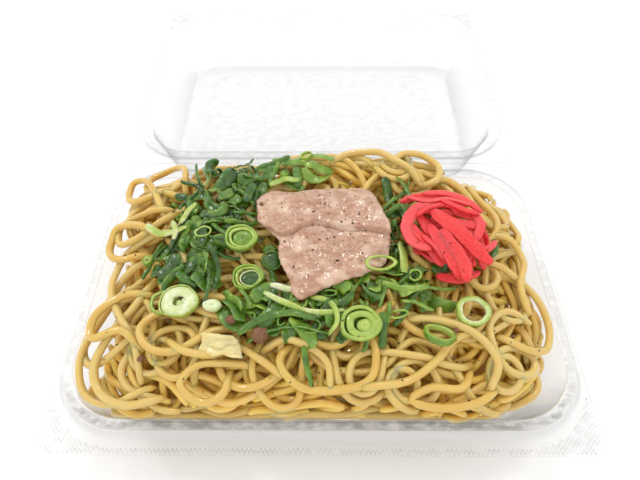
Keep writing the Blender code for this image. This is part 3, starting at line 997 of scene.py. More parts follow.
def slope_region(u, v):
    """The steep edge of the heap above the rim, at the back and the right."""
    step = (np.asarray(u) / WALL_LENGTH * WALL_STEPS).astype(int) % WALL_STEPS
    top = SLOPE_TOP[step]
    low = v - SLOPE_LOW
    high = top - v
    return np.minimum(low, high) + 1.0, np.zeros_like(u), np.where(low < high, 1.0, -1.0)


def strands_round(name, region, rings, goal_depth, low, high, limit, lengths):
    """A piece of strands laid from the outside of the heap inwards."""
    laid, goal, open_space = (
        Relief((0.0, 0.0), (WALL_LENGTH - CELL, high), CELL, depth, wraps=True)
        for depth in (0.35, goal_depth, 60.0)
    )
    made = lay_strands(
        random, laid, goal, open_space, region, side_grain, limit=limit, curl=0.07,
        lengths=lengths, radius=NOODLE_RADIUS, sink=0.2,
    )
    noodle_tubes(name, WALL_SECTION, made, round_the_heap(rings, low, high))


edge_x, edge_y = (wall_high + WALL_INWARD * 5.0).T
steep = (edge_y > 30) | ((edge_x > 70) & (edge_y > -36))  # the back and the right
SLOPE_TOP = np.where(steep, noodle_goal.at(edge_x, edge_y), 0.0)
strands_round(
    "noodle_strands_side", side_region, np.stack((wall_low, wall_high)), 7.0, SIDE_LOW, SIDE_HIGH,
    150, (70, 150),
)
strands_round(
    "noodle_strands_edge", slope_region, slope_rings(), 6.0, SLOPE_LOW, SLOPE_HIGH, 90, (50, 130)
)


def core_piece():
    """The unseen middle of the heap, up to just under the loose strands."""
    inset = 7.0
    rings = []
    for height, shrink in ((3.0, 3.0), (5.0, 1.0)):
        half = grown(grown(FLOOR_HALF, -inset), -shrink)
        ring = ring_points(half, FLOOR_CORNER, FLOOR_CORNER, height, sides=16)
        ring[:, :2] -= unit(ring[:, :2]) * wall_gap(ring[:, 0], ring[:, 1])[:, None]
        rings.append(ring)
    outline = ring_points(CORE_HALF, RIM_CORNER, RIM_CORNER, 0.0, sides=16)
    pulled = wall_gap(outline[:, 0], outline[:, 1]) + 1.0
    outline[:, :2] -= unit(outline[:, :2]) * pulled[:, None]
    for scale in (1.0, 0.97, *np.linspace(0.9, 0.05, 18)):
        level = outline * (scale, scale, 0)
        level[:, 2] = heap_start.at(level[:, 0], level[:, 1]) - 0.6
        if scale == 1.0:
            level[:, 2] -= 2.0
        rings.append(level)
    rows = np.stack(rings)
    points = rows.reshape(-1, 3)
    same = np.ones(len(points))
    faces = loft_faces(*rows.shape[:2])
    # The core's extra of 0.6 gives it most of the painted glow of the shaded gaps.
    return mesh_piece("noodle_core", points, faces, noodle_mat, same * 0.3, same * 0.6)


place_piece(core_piece(), "tray", "noodle", "noodles")

# Loops and long arcs of noodle that lie on top or lean out towards the rim: the least height of
# the middle of each, and the points it runs through
FEATURES = (
    (29.5, (-64, 4), (-75, -5), (-82, -18), (-84, -30), (-79, -36), (-70, -32), (-62, -24)),
    (28.5, (-56, -43), (-68, -49), (-79, -46), (-84, -37), (-82, -26), (-75, -14), (-66, -6)),
    (30.0, (-52, -47), (-63, -50), (-73, -46), (-77, -37), (-73, -27), (-66, -17), (-61, -5)),
    (31.5, (-52, 14), (-65, 11), (-75, 4), (-77, -8), (-71, -20), (-63, -31), (-60, -43)),
    (30.5, (-60, -12), (-70, -14), (-79, -21), (-78, -29), (-68, -27), (-60, -33)),
    (32.5, (-55, 32), (-57, 45), (-65, 50), (-73, 46), (-72, 36), (-64, 33), (-52, 29)),
    (31.0, (-60, 36), (-70, 30), (-79, 32), (-80, 41), (-73, 40), (-66, 30), (-60, 18)),
    (31.0, (-58, 24), (-68, 21), (-78, 17), (-76, 8), (-66, 12), (-56, 22)),
    (30.0, (-60, 10), (-72, 15), (-82, 14), (-84, 7), (-75, 2), (-64, 5)),
    (29.5, (60, 4), (72, -3), (81, -11), (84, -21), (80, -30), (71, -31), (62, -26)),
    (31.0, (66, 16), (75, 12), (78, 3), (74, -8), (76, -18)),
    (32.0, (-22, -38), (-31, -38), (-40, -39), (-45, -45), (-38, -50), (-31, -47), (-30, -38)),
    (0.0, (-46, -22), (-56, -20), (-61, -27), (-56, -34), (-46, -34), (-35, -27), (-18, -25)),
    (0.0, (-9, -30), (-13, -38), (-6, -45), (8, -46), (17, -43), (19, -34), (17, -26), (27, -16)),
    (0.0, (14, -46), (28, -44), (38, -38), (46, -30), (54, -26), (60, -20)),
    (32.0, (52, -38), (47, -45), (37, -45), (30, -49), (38, -51), (52, -49), (60, -44)),
    (0.0, (30, -22), (44, -24), (54, -29), (60, -37), (57, -45)),
    (0.0, (-20, -34), (-10, -31), (2, -37), (4, -46)),
    (0.0, (-52, -30), (-45, -35), (-36, -36), (-27, -33), (-20, -37), (-12, -42)),
    (37.0, (-20, 46), (-10, 51), (2, 52), (13, 50), (22, 44)),
    (32.5, (30, 40), (33, 47), (42, 49), (49, 44), (47, 36), (38, 34)),
    (34.0, (4, 44), (14, 48), (25, 48), (34, 41), (41, 33)),
)


def through(points):
    """Evenly spaced points on a smooth curve through the given ones."""
    points = np.array(points, float)
    padded = np.vstack((2 * points[0] - points[1], points, 2 * points[-1] - points[-2]))
    shares = np.linspace(0, 1, 16, endpoint=False)[:, None]
    parts = []
    for a, b, c, d in zip(padded, padded[1:], padded[2:], padded[3:]):
        parts.append(
            0.5 * (2 * b + (c - a) * shares + (2 * a - 5 * b + 4 * c - d) * shares**2
                   + (3 * b - a - 3 * c + d) * shares**3)
        )
    curve = np.vstack((*parts, points[-1:]))
    length = run_along(curve)[-1]
    return places_along(curve, np.linspace(0, length, int(length / STEP) + 1))


feature_strands = []
for lift, *points in FEATURES:
    path = through(points)
    size = NOODLE_RADIUS * random.uniform(0.98, 1.08)
    heights = rest_height(heap, path, size, size, 12.0, 0.5)
    if lift > 0:
        heights = smooth_along(np.maximum(heights, lift + random.uniform(-0.6, 0.6)))
    for _ in range(10):
        over = smooth_along((heights > under_lid(path, size)).astype(float))
        _, in_x, in_y = heap_region(*path.T)
        path = path + 0.5 * over[:, None] * np.column_stack((in_x, in_y))
    heights = smooth_along(np.minimum(heights, under_lid(path, size)))
    stamp(heap, path, heights, size, size)
    feature_strands.append((path, heights, size))
noodle_tubes("noodle_loops", STRAND_SECTION, feature_strands, upright, noodle_goal, 4.0)

# ==== build: green onions ====


def leaf_section(points=7, camber=1.5, thickness=0.9):
    """The cross-section of a cut leaf: a thin strip with a camber."""
    across = np.linspace(-1, 1, points)
    arch = camber * (0.6 - across**2)
    upper = np.column_stack((across, arch + thickness * (1 - across**4) * 0.5))
    lower = np.column_stack((across, arch - thickness * (1 - across**4) * 0.5 - 0.12))
    return np.vstack((lower, upper[::-1]))


# Where the cut leaves lie: middle, spread, share of the pieces, range of tone (0 dark, 1 pale)
ONION_HEAPS = (
    ((-46, 17), (11, 10), 0.28, (0.05, 0.36)),
    ((-52, 1), (10, 7), 0.22, (0.06, 0.40)),
    ((-36, 32), (9, 6), 0.10, (0.05, 0.36)),
    ((-11, 41), (7, 3), 0.015, (0.22, 0.52)),
    ((-12, -24), (15, 5), 0.16, (0.14, 0.50)),
    ((14, -17), (12, 5), 0.09, (0.16, 0.50)),
    ((30, 18), (3, 11), 0.010, (0.08, 0.36)),
    ((34, -9), (7, 3), 0.015, (0.14, 0.45)),
)


def onion_spots(random, count):
    """Places for cut pieces, with the tone that pieces have there."""
    middles, spreads, shares, tones = (np.array(column) for column in zip(*ONION_HEAPS))
    which = random.choice(len(ONION_HEAPS), count, p=shares / shares.sum())
    off = np.clip(random.normal(0, 0.62, (count, 2)), -1.2, 1.2) * spreads[which]
    return middles[which] + off, random.uniform(*tones[which].T)


def everywhere(x, y):
    """A region with no edge to turn back from."""
    return np.full(np.shape(x), 99.0), np.zeros_like(x), np.zeros_like(x)


ONION_OVER = 1.7  # how far a piece may stand over the goal
PORK_GAP = 0.2
SHRED_STEP = 0.9  # distance between the rings of a leaf
LEFTMOST_LEAF = -65.0
LEAF_STIFFNESS = 5.0
LEAF_TRIES, CURL_TRIES, ROUND_TRIES = 7, 6, 5  # places tried for each piece
SMALL_ROUNDS = 46
onion_goal = cast_over(solid_tree("green_onions"))
onion_goal.height = np.maximum(onion_goal.height, noodle_goal.height + 1.5)
pork_under = cast_over(solid_tree("pork_slice"), from_below=True, miss=999.0)


def into_pork(x, y, z):
    """A heavy count against points that stick up into the slice of pork."""
    return 20.0 * np.clip(np.asarray(z) + PORK_GAP - pork_under.at(x, y), 0, None).max()


def lay_leaf(random, relief, bundle, path, half_width, thickness, tone, lift):
    """One strip of leaf, its ends free to stand up a little."""
    heights = rest_height(relief, path, half_width, thickness, LEAF_STIFFNESS, 0.25)
    rings = len(path)
    rise = lift * np.linspace(0, 1, rings) ** 2
    rise = rise if random.random() < 0.5 else rise[::-1]
    room = pork_under.at(*path.T) - heights - thickness - PORK_GAP
    crinkle = 0.22 * np.sin(np.arange(rings) * random.uniform(1.0, 2.2) + random.uniform(0, 6))
    heights = heights + np.minimum(rise + crinkle, np.clip(room, 0, None))
    heights = np.minimum(heights, under_lid(path, half_width))
    centres, ups = upright(path, heights)
    stamp(relief, path, heights, half_width, thickness)
    along = np.linspace(-1, 1, rings)
    taper = 1.0 - random.uniform(0.0, 0.35) * np.abs(along) ** 5
    twist = random.normal(0, 0.4) + random.normal(0, 0.5) * along
    sides = len(bundle.section)
    edge = np.abs(bundle.section[:, 0])
    shade = tone + 0.10 * (edge - 0.5)[None, :] + 0.05 * np.sin(6 * along)[:, None]
    shade = shade + 0.07 * (np.arange(sides) < sides // 2)
    bundle.add(centres, ups, half_width * taper, thickness, shade, 0.0, twist)


def scatter_leaves(random, relief, bundle, count, lengths, widths, thickness, curl, lift):
    """Cut strips of leaf laid one by one where the onions still lie lowest."""
    for _ in range(count):
        places, tones = onion_spots(random, LEAF_TRIES)
        steps = max(int(random.uniform(*lengths) / SHRED_STEP), 4)
        headings = random.uniform(0, math.tau, LEAF_TRIES)
        paths, _ = wander(random, places, headings, steps, curl, 8.0, everywhere)
        paths = places[:, None, :] + (paths - places[:, None, :]) * (SHRED_STEP / STEP)
        half_width = random.uniform(*widths)
        overs = []
        for path in paths:
            top = rest_height(relief, path, half_width, thickness, LEAF_STIFFNESS, 0.25) + thickness
            over = (top - onion_goal.at(*path.T)).mean()
            strays = np.clip(LEFTMOST_LEAF - path[:, 0], 0, None).max()
            overs.append(over + strays + into_pork(*path.T, top))
        pick = int(np.argmin(overs))
        if overs[pick] < ONION_OVER:
            rise = lift * random.random() ** 2
            lay_leaf(
                random, relief, bundle, paths[pick], half_width, thickness, tones[pick], rise
            )


def leaning(tilt_x, tilt_y, turn=0.0):
    """A turn about Z, then tilts about Y and X, as a matrix."""
    lean = Matrix.Rotation(tilt_x, 3, "X") @ Matrix.Rotation(tilt_y, 3, "Y")
    return np.array(lean @ Matrix.Rotation(turn, 3, "Z"))


def settled(relief, x, y, offsets, sink):
    """The height at which a stiff piece comes to rest."""
    rest = relief.at(x + offsets[:, 0], y + offsets[:, 1]) - offsets[:, 2]
    return np.percentile(rest, 86) - sink


def lowest_place(places, offsets, extra, tops):
    """Which of the places has a stiff piece lying lowest, and its height there.

    None where it would stand too far over the goal. extra is what it adds to its height, and
    tops are its heights over its middle.
    """
    rests = [settled(heap, *place, offsets, 0.5) for place in places]
    overs = [
        rest + extra - onion_goal.at(*place)
        + into_pork(place[0] + offsets[:, 0], place[1] + offsets[:, 1], rest + tops)
        for place, rest in zip(places, rests)
    ]
    pick = int(np.argmin(overs))
    return (pick, rests[pick]) if overs[pick] <= ONION_OVER else None


def scatter_curls(random, relief, bundle, count):
    """Squashed and opened slices of leaf: thin arcs standing or leaning on the heap."""
    for _ in range(count):
        places, tones = onion_spots(random, CURL_TRIES)
        radius = random.uniform(1.8, 4.4)
        squash = random.uniform(0.35, 0.95)
        half_height = random.uniform(0.6, 1.7)
        angles = random.uniform(0, math.tau) + np.linspace(0, random.uniform(3.2, 6.0), 18)
        ring = np.column_stack((np.cos(angles), squash * np.sin(angles), np.zeros(18))) * radius
        ring[:, 2] = random.normal(0, 0.25) * ring[:, 0]
        lean = leaning(*random.normal(0, 0.55, 2), random.uniform(0, math.tau))
        ring = ring @ lean.T
        axis = lean[:, 2]
        offsets = np.vstack((ring - axis * half_height, ring + axis * half_height))
        extra = np.abs(offsets[:, 2]).max() * 0.6
        found = lowest_place(places, offsets, extra, offsets[:, 2])
        if found is None:
            continue
        pick, z = found
        centres = ring + (*places[pick], z)
        relief.raise_to(centres[:, 0], centres[:, 1], centres[:, 2] + half_height * 0.7)
        inner = (bundle.section[:, 0] > 0)[None, :] * 0.16
        bundle.add(
            centres, np.broadcast_to(axis, centres.shape), random.uniform(0.26, 0.42),
            half_height, tones[pick] + inner,
        )


class Rounds:
    """Cut rounds of onion: turned rings that are a little oval and uneven."""

    steps = 28

    def __init__(self):
        self.points, self.tones, self.quads = [], [], []
        self.count = 0

    def ring(self, centre, lean, outer, hole, height, tones, squash=1.0, dome=0.0):
        """tones are those of the hole's wall and of the rim."""
        section = superellipse(10, 3.4) * ((outer - hole) / 2, height / 2)
        angles = np.arange(self.steps) * math.tau / self.steps
        wave = 1 + 0.03 * np.cos(3 * angles + outer) + 0.02 * np.cos(5 * angles)
        reach = (section[None, :, 0] + (outer + hole) / 2) * wave[:, None]
        rise = section[None, :, 1] - dome * (reach / outer) ** 2
        flat = np.stack(
            (np.cos(angles)[:, None] * reach, np.sin(angles)[:, None] * reach * squash, rise), 2
        ).reshape(-1, 3)
        self.points.append(flat @ lean.T + centre)
        outward = (section[:, 0] / max((outer - hole) / 2, 1e-6) + 1) / 2
        tone = tones[0] + (tones[1] - tones[0]) * outward**1.5
        self.tones.append(np.tile(tone, self.steps))
        sides = len(section)
        here = self.count + np.arange(self.steps)[:, None] * sides
        there = self.count + ((np.arange(self.steps) + 1) % self.steps)[:, None] * sides
        side = np.arange(sides)
        after = (side + 1) % sides
        quads = np.stack((here + side, there + side, there + after, here + after), 2)
        self.quads.append(quads.reshape(-1, 4))
        self.count += self.steps * sides

    def piece(self, name, mat):
        points = np.concatenate(self.points)
        quads = [np.concatenate(self.quads)]
        return mesh_piece(name, points, quads, mat, np.concatenate(self.tones))


def round_offsets(outer, height, lean):
    """Points under a round, to find where it comes to rest."""
    angles = np.linspace(0, math.tau, 24, endpoint=False)
    rings = [
        np.column_stack((radius * np.cos(angles), radius * np.sin(angles), np.full(24, -height / 2)))
        for radius in (outer * 0.5, outer * 0.8, outer)
    ]
    return np.vstack(rings) @ lean.T


def stamp_round(relief, x, y, z, outer, height):
    """Adds a laid round to the relief."""
    spread = np.linspace(-outer, outer, 15)
    across, along = np.meshgrid(spread, spread)
    kept = np.hypot(across, along) <= outer
    relief.raise_to(x + across[kept], y + along[kept], np.full(kept.sum(), z + height / 2))


random = np.random.default_rng(77)
onion_mat = onion_look()
leaves = Bundle(leaf_section(), ends=(0.8, 0.97))
scatter_leaves(random, heap, leaves, 170, (6, 14), (1.4, 2.8), 0.30, 0.07, 2.2)
scatter_leaves(random, heap, leaves, 70, (9, 22), (0.6, 1.3), 0.34, 0.05, 2.2)
curls = Bundle(superellipse(8, 3.0), ends=(0.8, 1.0))
scatter_curls(random, heap, curls, 250)
scatter_leaves(random, heap, leaves, 60, (5, 12), (1.2, 2.4), 0.28, 0.09, 3.0)
place_piece(curls.piece("onion_curls", onion_mat), "tray", "onion_leaf")

# Long blades laid over the rest: tone, half width and the points they run through
BLADES = (
    # The three pale blades at the left are partly pale stalk and partly painted sheen, the white
    # shine of wet leaf.
    (0.76, 1.5, (-65, 12), (-60, 9), (-55, 10), (-50, 12)),
    (0.84, 1.2, (-56, 15), (-54, 10), (-54, 6)),
    (0.76, 1.3, (-53, 14), (-51, 19), (-48, 23)),
    (0.78, 1.1, (-19, -16), (-11, -20), (-1, -23), (9, -22)),
    (0.90, 1.2, (-17, -13), (-9, -14), (0, -12)),
    (0.70, 1.0, (-3, -17), (4, -20), (6, -26), (3, -31)),
    (0.28, 1.5, (-27, -30), (-19, -25), (-10, -23), (-1, -25)),
    (0.24, 1.2, (-24, -32), (-16, -29), (-6, -28), (3, -31)),
    (0.34, 1.1, (-5, -34), (-4, -39), (-2, -45)),
    (0.70, 1.6, (30, 6), (30.8, -1), (30, -8)),
    (0.55, 1.2, (22, -12), (30, -14), (38, -13)),
    (0.50, 1.6, (-8, 42), (-1, 46), (6, 43)),
    (0.62, 1.8, (-20, 31), (-14, 34), (-8, 33)),
    (0.30, 1.3, (31, 36), (34, 31), (36, 25)),
    (0.22, 1.3, (65, 4), (68, 8), (68, 12)),
)
for tone, half_width, *points in BLADES:
    lay_leaf(random, heap, leaves, through(points), half_width, 0.32, tone, 0.8)
place_piece(leaves.piece("onion_leaves", onion_mat), "tray", "onion_leaf", "green_onions")

# Rounds that have a solid of their own: node, lean (degrees), and for each ring from the rim
# inwards its outer and inner share of the radius, its height share, and its tones
NAMED_ROUNDS = (
    ("onion_ring_right", (14, 6), ((1.0, 0.66, 1.0, (0.86, 0.60)),)),
    ("onion_ring_back_left", (10, 4), (
        (1.0, 0.82, 1.0, (0.66, 0.52)), (0.83, 0.62, 0.95, (0.74, 0.60)),
        (0.62, 0.0, 0.7, (0.36, 0.50)))),
    # The left round's low, near-black middle disc is painted shade, standing where the shaded hollow
    # at its middle would be.
    ("onion_ring_left", (8, -4), (
        (1.0, 0.84, 1.0, (0.62, 0.42)), (0.85, 0.66, 0.95, (0.70, 0.50)),
        (0.62, 0.54, 0.7, (0.90, 0.84)), (0.55, 0.0, 0.3, (0.06, 0.12)))),
    ("onion_ring_front", (12, 0), (
        (1.0, 0.78, 1.0, (0.70, 0.56)), (0.77, 0.40, 0.9, (0.62, 0.72)),
        (0.38, 0.0, 0.7, (0.78, 0.60)))),
    ("onion_ring_white", (4, -4), (
        (1.0, 0.93, 0.9, (0.80, 0.66)), (0.93, 0.30, 1.0, (0.92, 0.84)),
        (0.30, 0.0, 0.85, (0.84, 0.88)))),
    ("onion_ring_near_ginger", (-30, 12), ((1.0, 0.74, 1.0, (0.70, 0.42)),)),
)
ROUND_HEIGHT = 2.5


def cut_round(rounds, place, outer, height, lean, rings, squash, drift):
    """Adds a round of nested rings, each a little off the middle of the one outside it."""
    for rim, hole, height_share, tones in rings:
        middle = np.array((drift[0] * (1 - rim), drift[1] * (1 - rim), 0.0))
        rounds.ring(
            np.array(place) + middle, lean, outer * rim, outer * hole, height * height_share,
            tones, squash, 0.25,
        )


def lay_rounds(name, entries):
    """One piece of rounds: each has x, y, radius, squash, height, lean and rings."""
    together = Rounds()
    for x, y, outer, squash, height, lean_angles, rings in entries:
        lean = leaning(*np.radians(lean_angles))
        z = settled(heap, x, y, round_offsets(outer, height, lean), 0.5)
        cut_round(together, (x, y, z), outer, height, lean, rings, squash, (0.6, -0.4))
        stamp_round(heap, x, y, z, outer * 0.8, height)
    place_piece(together.piece(name, onion_mat), "tray", "onion_stalk")


# A green ring that the white round half covers
lay_rounds("onion_covered_ring", (
    (-54.8, -16.8, 5.2, 0.9, 1.8, (4, -6), ((1.0, 0.78, 1.0, (0.66, 0.50)),)),
))
WHITE_SHIFT, WHITE_GROWTH = 2.6, 1.2  # the white round lies further right and is larger
for node, lean_angles, rings in NAMED_ROUNDS:
    low, high = box_of(node)
    x, y = (low.x + high.x) / 2, (low.y + high.y) / 2
    outer = (high.x - low.x) / 2
    if node == "onion_ring_white":
        x, outer = x + WHITE_SHIFT, outer * WHITE_GROWTH
    lean = leaning(*np.radians(lean_angles))
    z = settled(heap, x, y, round_offsets(outer, ROUND_HEIGHT, lean), 0.4)
    z = min(z, (low.z + high.z) / 2 + 2.0)
    rounds = Rounds()
    cut_round(rounds, (x, y, z), outer, ROUND_HEIGHT, lean, rings, 0.86, (2.2, -1.4))
    stamp_round(heap, x, y, z, outer, ROUND_HEIGHT)
    place_piece(rounds.piece(node + "_cut", onion_mat), "tray", "onion_stalk", node)

# Small rounds scattered through the leaves
rounds = Rounds()
for _ in range(SMALL_ROUNDS):
    places, tones = onion_spots(random, ROUND_TRIES)
    outer = random.uniform(1.8, 4.4)
    hole = outer * random.uniform(0.62, 0.84)
    height = random.uniform(1.0, 2.6)
    lean = leaning(random.normal(0, 0.4), random.normal(0, 0.4), random.uniform(0, math.tau))
    offsets = round_offsets(outer, height, lean)
    found = lowest_place(places, offsets, 0.0, height)
    if found is None:
        continue
    pick, z = found
    (x, y), tone = places[pick], tones[pick] + random.uniform(0.1, 0.3)
    squash = random.uniform(0.6, 1.0)
    middle = np.array((x, y, z))
    rounds.ring(middle, lean, outer, hole, height, (tone + 0.18, tone), squash)
    if random.random() < 0.4:
        inner_tones = (tone + 0.3, tone + 0.15)
        rounds.ring(middle, lean, hole * 0.93, hole * 0.5, height * 0.85, inner_tones, squash)
    stamp_round(heap, x, y, z, outer * 0.8, height)
place_piece(rounds.piece("onion_small_rounds", onion_mat), "tray", "onion_leaf")

# ==== build: pork and cabbage ====


def dense_copy(name, node, mat, voxel, shape, draw=np.copy):
    """A finely divided copy of a CAD solid, given relief by shape(points, normals)."""
    piece = link(bpy.data.objects.new(name, frame["nodes"][node].data.copy()))
    remesh = piece.modifiers.new("dense", "REMESH")
    remesh.mode = "VOXEL"
    remesh.voxel_size = voxel * MM
    remesh.use_smooth_shade = True
    smooth = piece.modifiers.new("soft", "SMOOTH")
    smooth.iterations = 6
    smooth.factor = 0.5
    graph = bpy.context.evaluated_depsgraph_get()
    dense = bpy.data.meshes.new_from_object(piece.evaluated_get(graph))
    piece.modifiers.clear()
    piece.data = dense
    points = np.empty(len(dense.vertices) * 3)
    dense.vertices.foreach_get("co", points)
    normals = np.array([vertex.normal for vertex in dense.vertices])
    points = points.reshape(-1, 3) / MM
    points = draw(points + normals * shape(points, normals)[:, None])
    dense.vertices.foreach_set("co", (points * MM).ravel())
    dense.materials.clear()
    dense.materials.append(mat)
    dense.shade_smooth()
    dense.update()
    return piece


def uneven(points, size, stretch=(1, 1, 1)):
    """Smooth noise between about -1 and 1 at each point, with features of about that size."""
    scaled = points / size * np.array(stretch)
    return np.array([noise.noise(Vector(point)) for point in scaled]) * 1.6


# The slice folds over on itself: its back part ends in a lip along the first line, and the part
# in front has a soft ridge along the second.
PORK_LIP = (
    (-20, 10), (-12, 7.2), (-7, 9.5), (-2.4, 10.9), (3, 10.5), (9.4, 8.6), (17, 8.6), (31, 7.5),
)
PORK_RIDGE = ((-5.3, 8), (-3.3, -2), (-2.1, -9), (-1, -17))
# Where the edge of the slice is drawn out, and by how much
PORK_PULLS = (
    ((-8, 32), (0.0, -4.2)),
    ((17, 25), (1.6, 4.2)),
    ((-23, 26), (-3.2, -2.6)),
    ((-12, -3), (-2.8, 0.0)),
    ((-6, -18), (-2.0, -2.0)),
)
PULL_REACH = 8.0


def beside(points, line):
    """Signed distance of points from a line: positive on its left."""
    curve = through(line)
    gaps = points[:, None, :2] - curve[None, :, :]
    nearest = np.argmin((gaps**2).sum(axis=2), axis=1)
    along = unit(np.gradient(curve, axis=0))[nearest]
    gap = gaps[np.arange(len(points)), nearest]
    return gap[:, 1] * along[:, 0] - gap[:, 0] * along[:, 1]


def pork_relief(points, normals):
    off = beside(points, PORK_LIP) + 0.7 * uneven(points, 5.0)
    lip = 1.3 / (1 + np.exp(np.clip(-off / 0.22, -30, 30))) * np.exp(-np.maximum(off, 0) / 7.0)
    shade = -1.3 * np.exp(-((off + 0.6) / 0.5) ** 2)
    across = beside(points, PORK_RIDGE) + 0.8 * uneven(points, 6.0)
    ridge = 1.1 * np.exp(-np.abs(across) / 1.4) * (off < 0)
    folds = 0.55 * uneven(points, 9.0) + 0.34 * uneven(points, 4.0, (0.6, 1.2, 1.0))
    fine = 0.16 * uneven(points, 1.8) + 0.08 * uneven(points, 0.9)
    facing_up = np.clip(normals[:, 2], 0, 1)
    return facing_up * (lip + shade + ridge + folds) + fine


def pork_pulled(points):
    """The slice with its edge drawn out, and the edge itself uneven."""
    moved = points.copy()
    for place, move in PORK_PULLS:
        gap = np.hypot(*(points[:, :2] - place).T)
        moved[:, :2] += np.exp(-((gap / PULL_REACH) ** 2))[:, None] * move
    return moved


pork = dense_copy("pork_slice_meat", "pork_slice", pork_look(), 0.5, pork_relief, pork_pulled)
place_piece(pork, "tray", "pork", "pork_slice")


def cabbage_relief(points, normals):
    veins = 0.35 * uneven(points, 2.6, (0.4, 1.4, 1.0))
    return veins + 0.8 * uneven(points, 5.0) - 0.35


def cabbage_flattened(points):
    """The leaf pressed flat, its edge wavy."""
    low, high = points.min(axis=0), points.max(axis=0)
    middle = (low + high) / 2
    moved = points.copy()
    moved[:, 2] = high[2] - 1.2 + (points[:, 2] - middle[2]) * 0.4
    moved[:, 2] += 0.9 * uneven(points * (1, 1, 0), 7.0)
    wave = 1.0 + 0.30 * uneven(points * (1, 1, 0), 4.0)
    moved[:, :2] = middle[:2] + (points[:, :2] - middle[:2]) * wave[:, None] * 0.95
    return moved


cabbage = dense_copy(
    "cabbage_leaf", "cabbage_piece", cabbage_look(), 0.4, cabbage_relief, cabbage_flattened
)
place_piece(cabbage, "tray", "cabbage", "cabbage_piece")
pork_top = cast_over(piece_tree(pork), piece_tree(cabbage))
heap.height = np.maximum(heap.height, pork_top.height)

# Rounds that lie on or against the pork and the white round
LOOSE_ROUNDS = (
    (21.6, -5.3, 5.7, 0.52, 1.7, (10, -4), ((1.0, 0.76, 1.0, (0.76, 0.62)),)),
    (-17.2, -1.8, 3.9, 0.95, 1.3, (10, 12), (
        (1.0, 0.86, 1.0, (0.30, 0.22)), (0.84, 0.0, 0.6, (0.10, 0.14)))),
    (-18.4, 4.2, 2.8, 0.7, 2.0, (24, 6), ((1.0, 0.0, 1.0, (0.42, 0.32)),)),
    (-36.8, -19.6, 3.3, 0.7, 2.4, (6, 10), ((1.0, 0.0, 1.0, (0.92, 0.88)),)),
)
lay_rounds("onion_loose_rounds", LOOSE_ROUNDS)

# ==== build: ginger ====

ginger_low, ginger_high = box_of("pickled_ginger")
GINGER_MIDDLE = ((ginger_low.x + ginger_high.x) / 2, (ginger_low.y + ginger_high.y) / 2)
GINGER_HALF = ((ginger_high.x - ginger_low.x) / 2, (ginger_high.y - ginger_low.y) / 2)


def ginger_region(x, y):
    return into_rectangle(x, y, GINGER_HALF, (14, 14, 14, 14), GINGER_MIDDLE)


def ginger_grain(x, y):
    """Level along the back, steep along the front."""
    angle = np.where(y > GINGER_MIDDLE[1] + 7, -0.1, np.where(x < GINGER_MIDDLE[0], -1.1, -0.65))
    return angle, np.full(np.shape(x), 0.45)


def add_ginger(bundle, random, path, heights, half_width, tone):
    """One strip, thicker along its middle than at its ends."""
    centres, ups = upright(path, heights)
    along = np.linspace(-1, 1, len(path))
    taper = 1.0 - 0.45 * np.abs(along) ** 4
    ragged = 1.0 + 0.07 * np.sin(np.arange(len(path)) * random.uniform(0.8, 1.8))
    twist = random.normal(0, 0.22) + along * random.normal(0, 0.35)
    fibres = random.normal(0, 0.16, len(bundle.section))[None, :]
    # The edges of each strip are painted paler: painted light showing through the thin edge.
    edge = 0.22 * np.abs(bundle.section[:, 0])[None, :] ** 4
    widths = half_width * taper * ragged
    bundle.add(centres, ups, widths, GINGER_THIN, tone + edge + fibres, 0.0, twist)


ginger_goal = cast_over(solid_tree("pickled_ginger"))
ginger_goal.height = np.where(ginger_goal.height > 0, ginger_goal.height, heap.height - 3.0)
random = np.random.default_rng(8)
ginger_bundle = Bundle(superellipse(16, 4.6), ends=(0.72, 0.95))
for below, lengths in ((3.4, (14, 26)), (1.4, (16, 28))):
    strips = lay_strands(
        random, heap, ginger_goal.lowered(below), ceiling, ginger_region, ginger_grain, limit=40,
        curl=0.03, lengths=lengths, radius=GINGER_WIDE, sink=0.3, flat=GINGER_THIN / GINGER_WIDE,
        shortest=8, enough=4.0, stiffness=(16.0, 30.0),
    )
    for path, heights, size in strips:
        add_ginger(ginger_bundle, random, path, heights, size, random.uniform(0.1, 0.6))

# The strips on top: tone, half width, points
GINGER_STRIPS = (
    (0.65, 1.5, (31, 22), (38, 25), (47, 26), (56, 23)),
    (0.75, 1.6, (34, 18), (42, 22), (51, 22), (60, 18)),
    (0.55, 1.4, (40, 26), (49, 27), (57, 25), (63, 20)),
    (0.85, 2.3, (44, 19), (36, 17), (32, 10), (34, 3), (40, 0)),
    (0.45, 1.8, (50, 19), (57, 17), (63, 13)),
    (0.50, 1.7, (46, 15), (54, 13), (62, 12)),
    (0.70, 1.6, (58, 19), (60, 12), (57, 5)),
    (0.90, 0.9, (33, 24), (41, 22), (50, 24), (58, 22)),
    (0.40, 1.1, (36, 14), (41, 18), (48, 20)),
    (0.10, 1.2, (46, 21), (52, 18), (60, 16)),
    (0.75, 1.0, (45, 13), (50, 9), (52, 3)),
    (0.45, 0.9, (37, 6), (41, 1), (44, -5)),
    (0.30, 1.3, (55, 0), (61, 2), (66, 7)),
    (0.25, 2.2, (40, 10), (43, 3), (46, -5), (48, -12)),
    (0.35, 2.3, (44, 7), (47, 0), (50, -7), (50, -14)),
    (0.20, 2.7, (42, 16), (48, 9), (54, 2), (61, -5)),
)
for tone, half_width, *points in GINGER_STRIPS:
    path = through(points)
    heights = rest_height(heap, path, half_width, GINGER_THIN, 22.0, 0.25)
    heights = np.minimum(heights, ceiling.at(*path.T) - GINGER_THIN - 0.8)
    stamp(heap, path, heights, half_width, GINGER_THIN)
    add_ginger(ginger_bundle, random, path, heights, half_width, tone)
ginger = ginger_bundle.piece("ginger_strips", ginger_look())
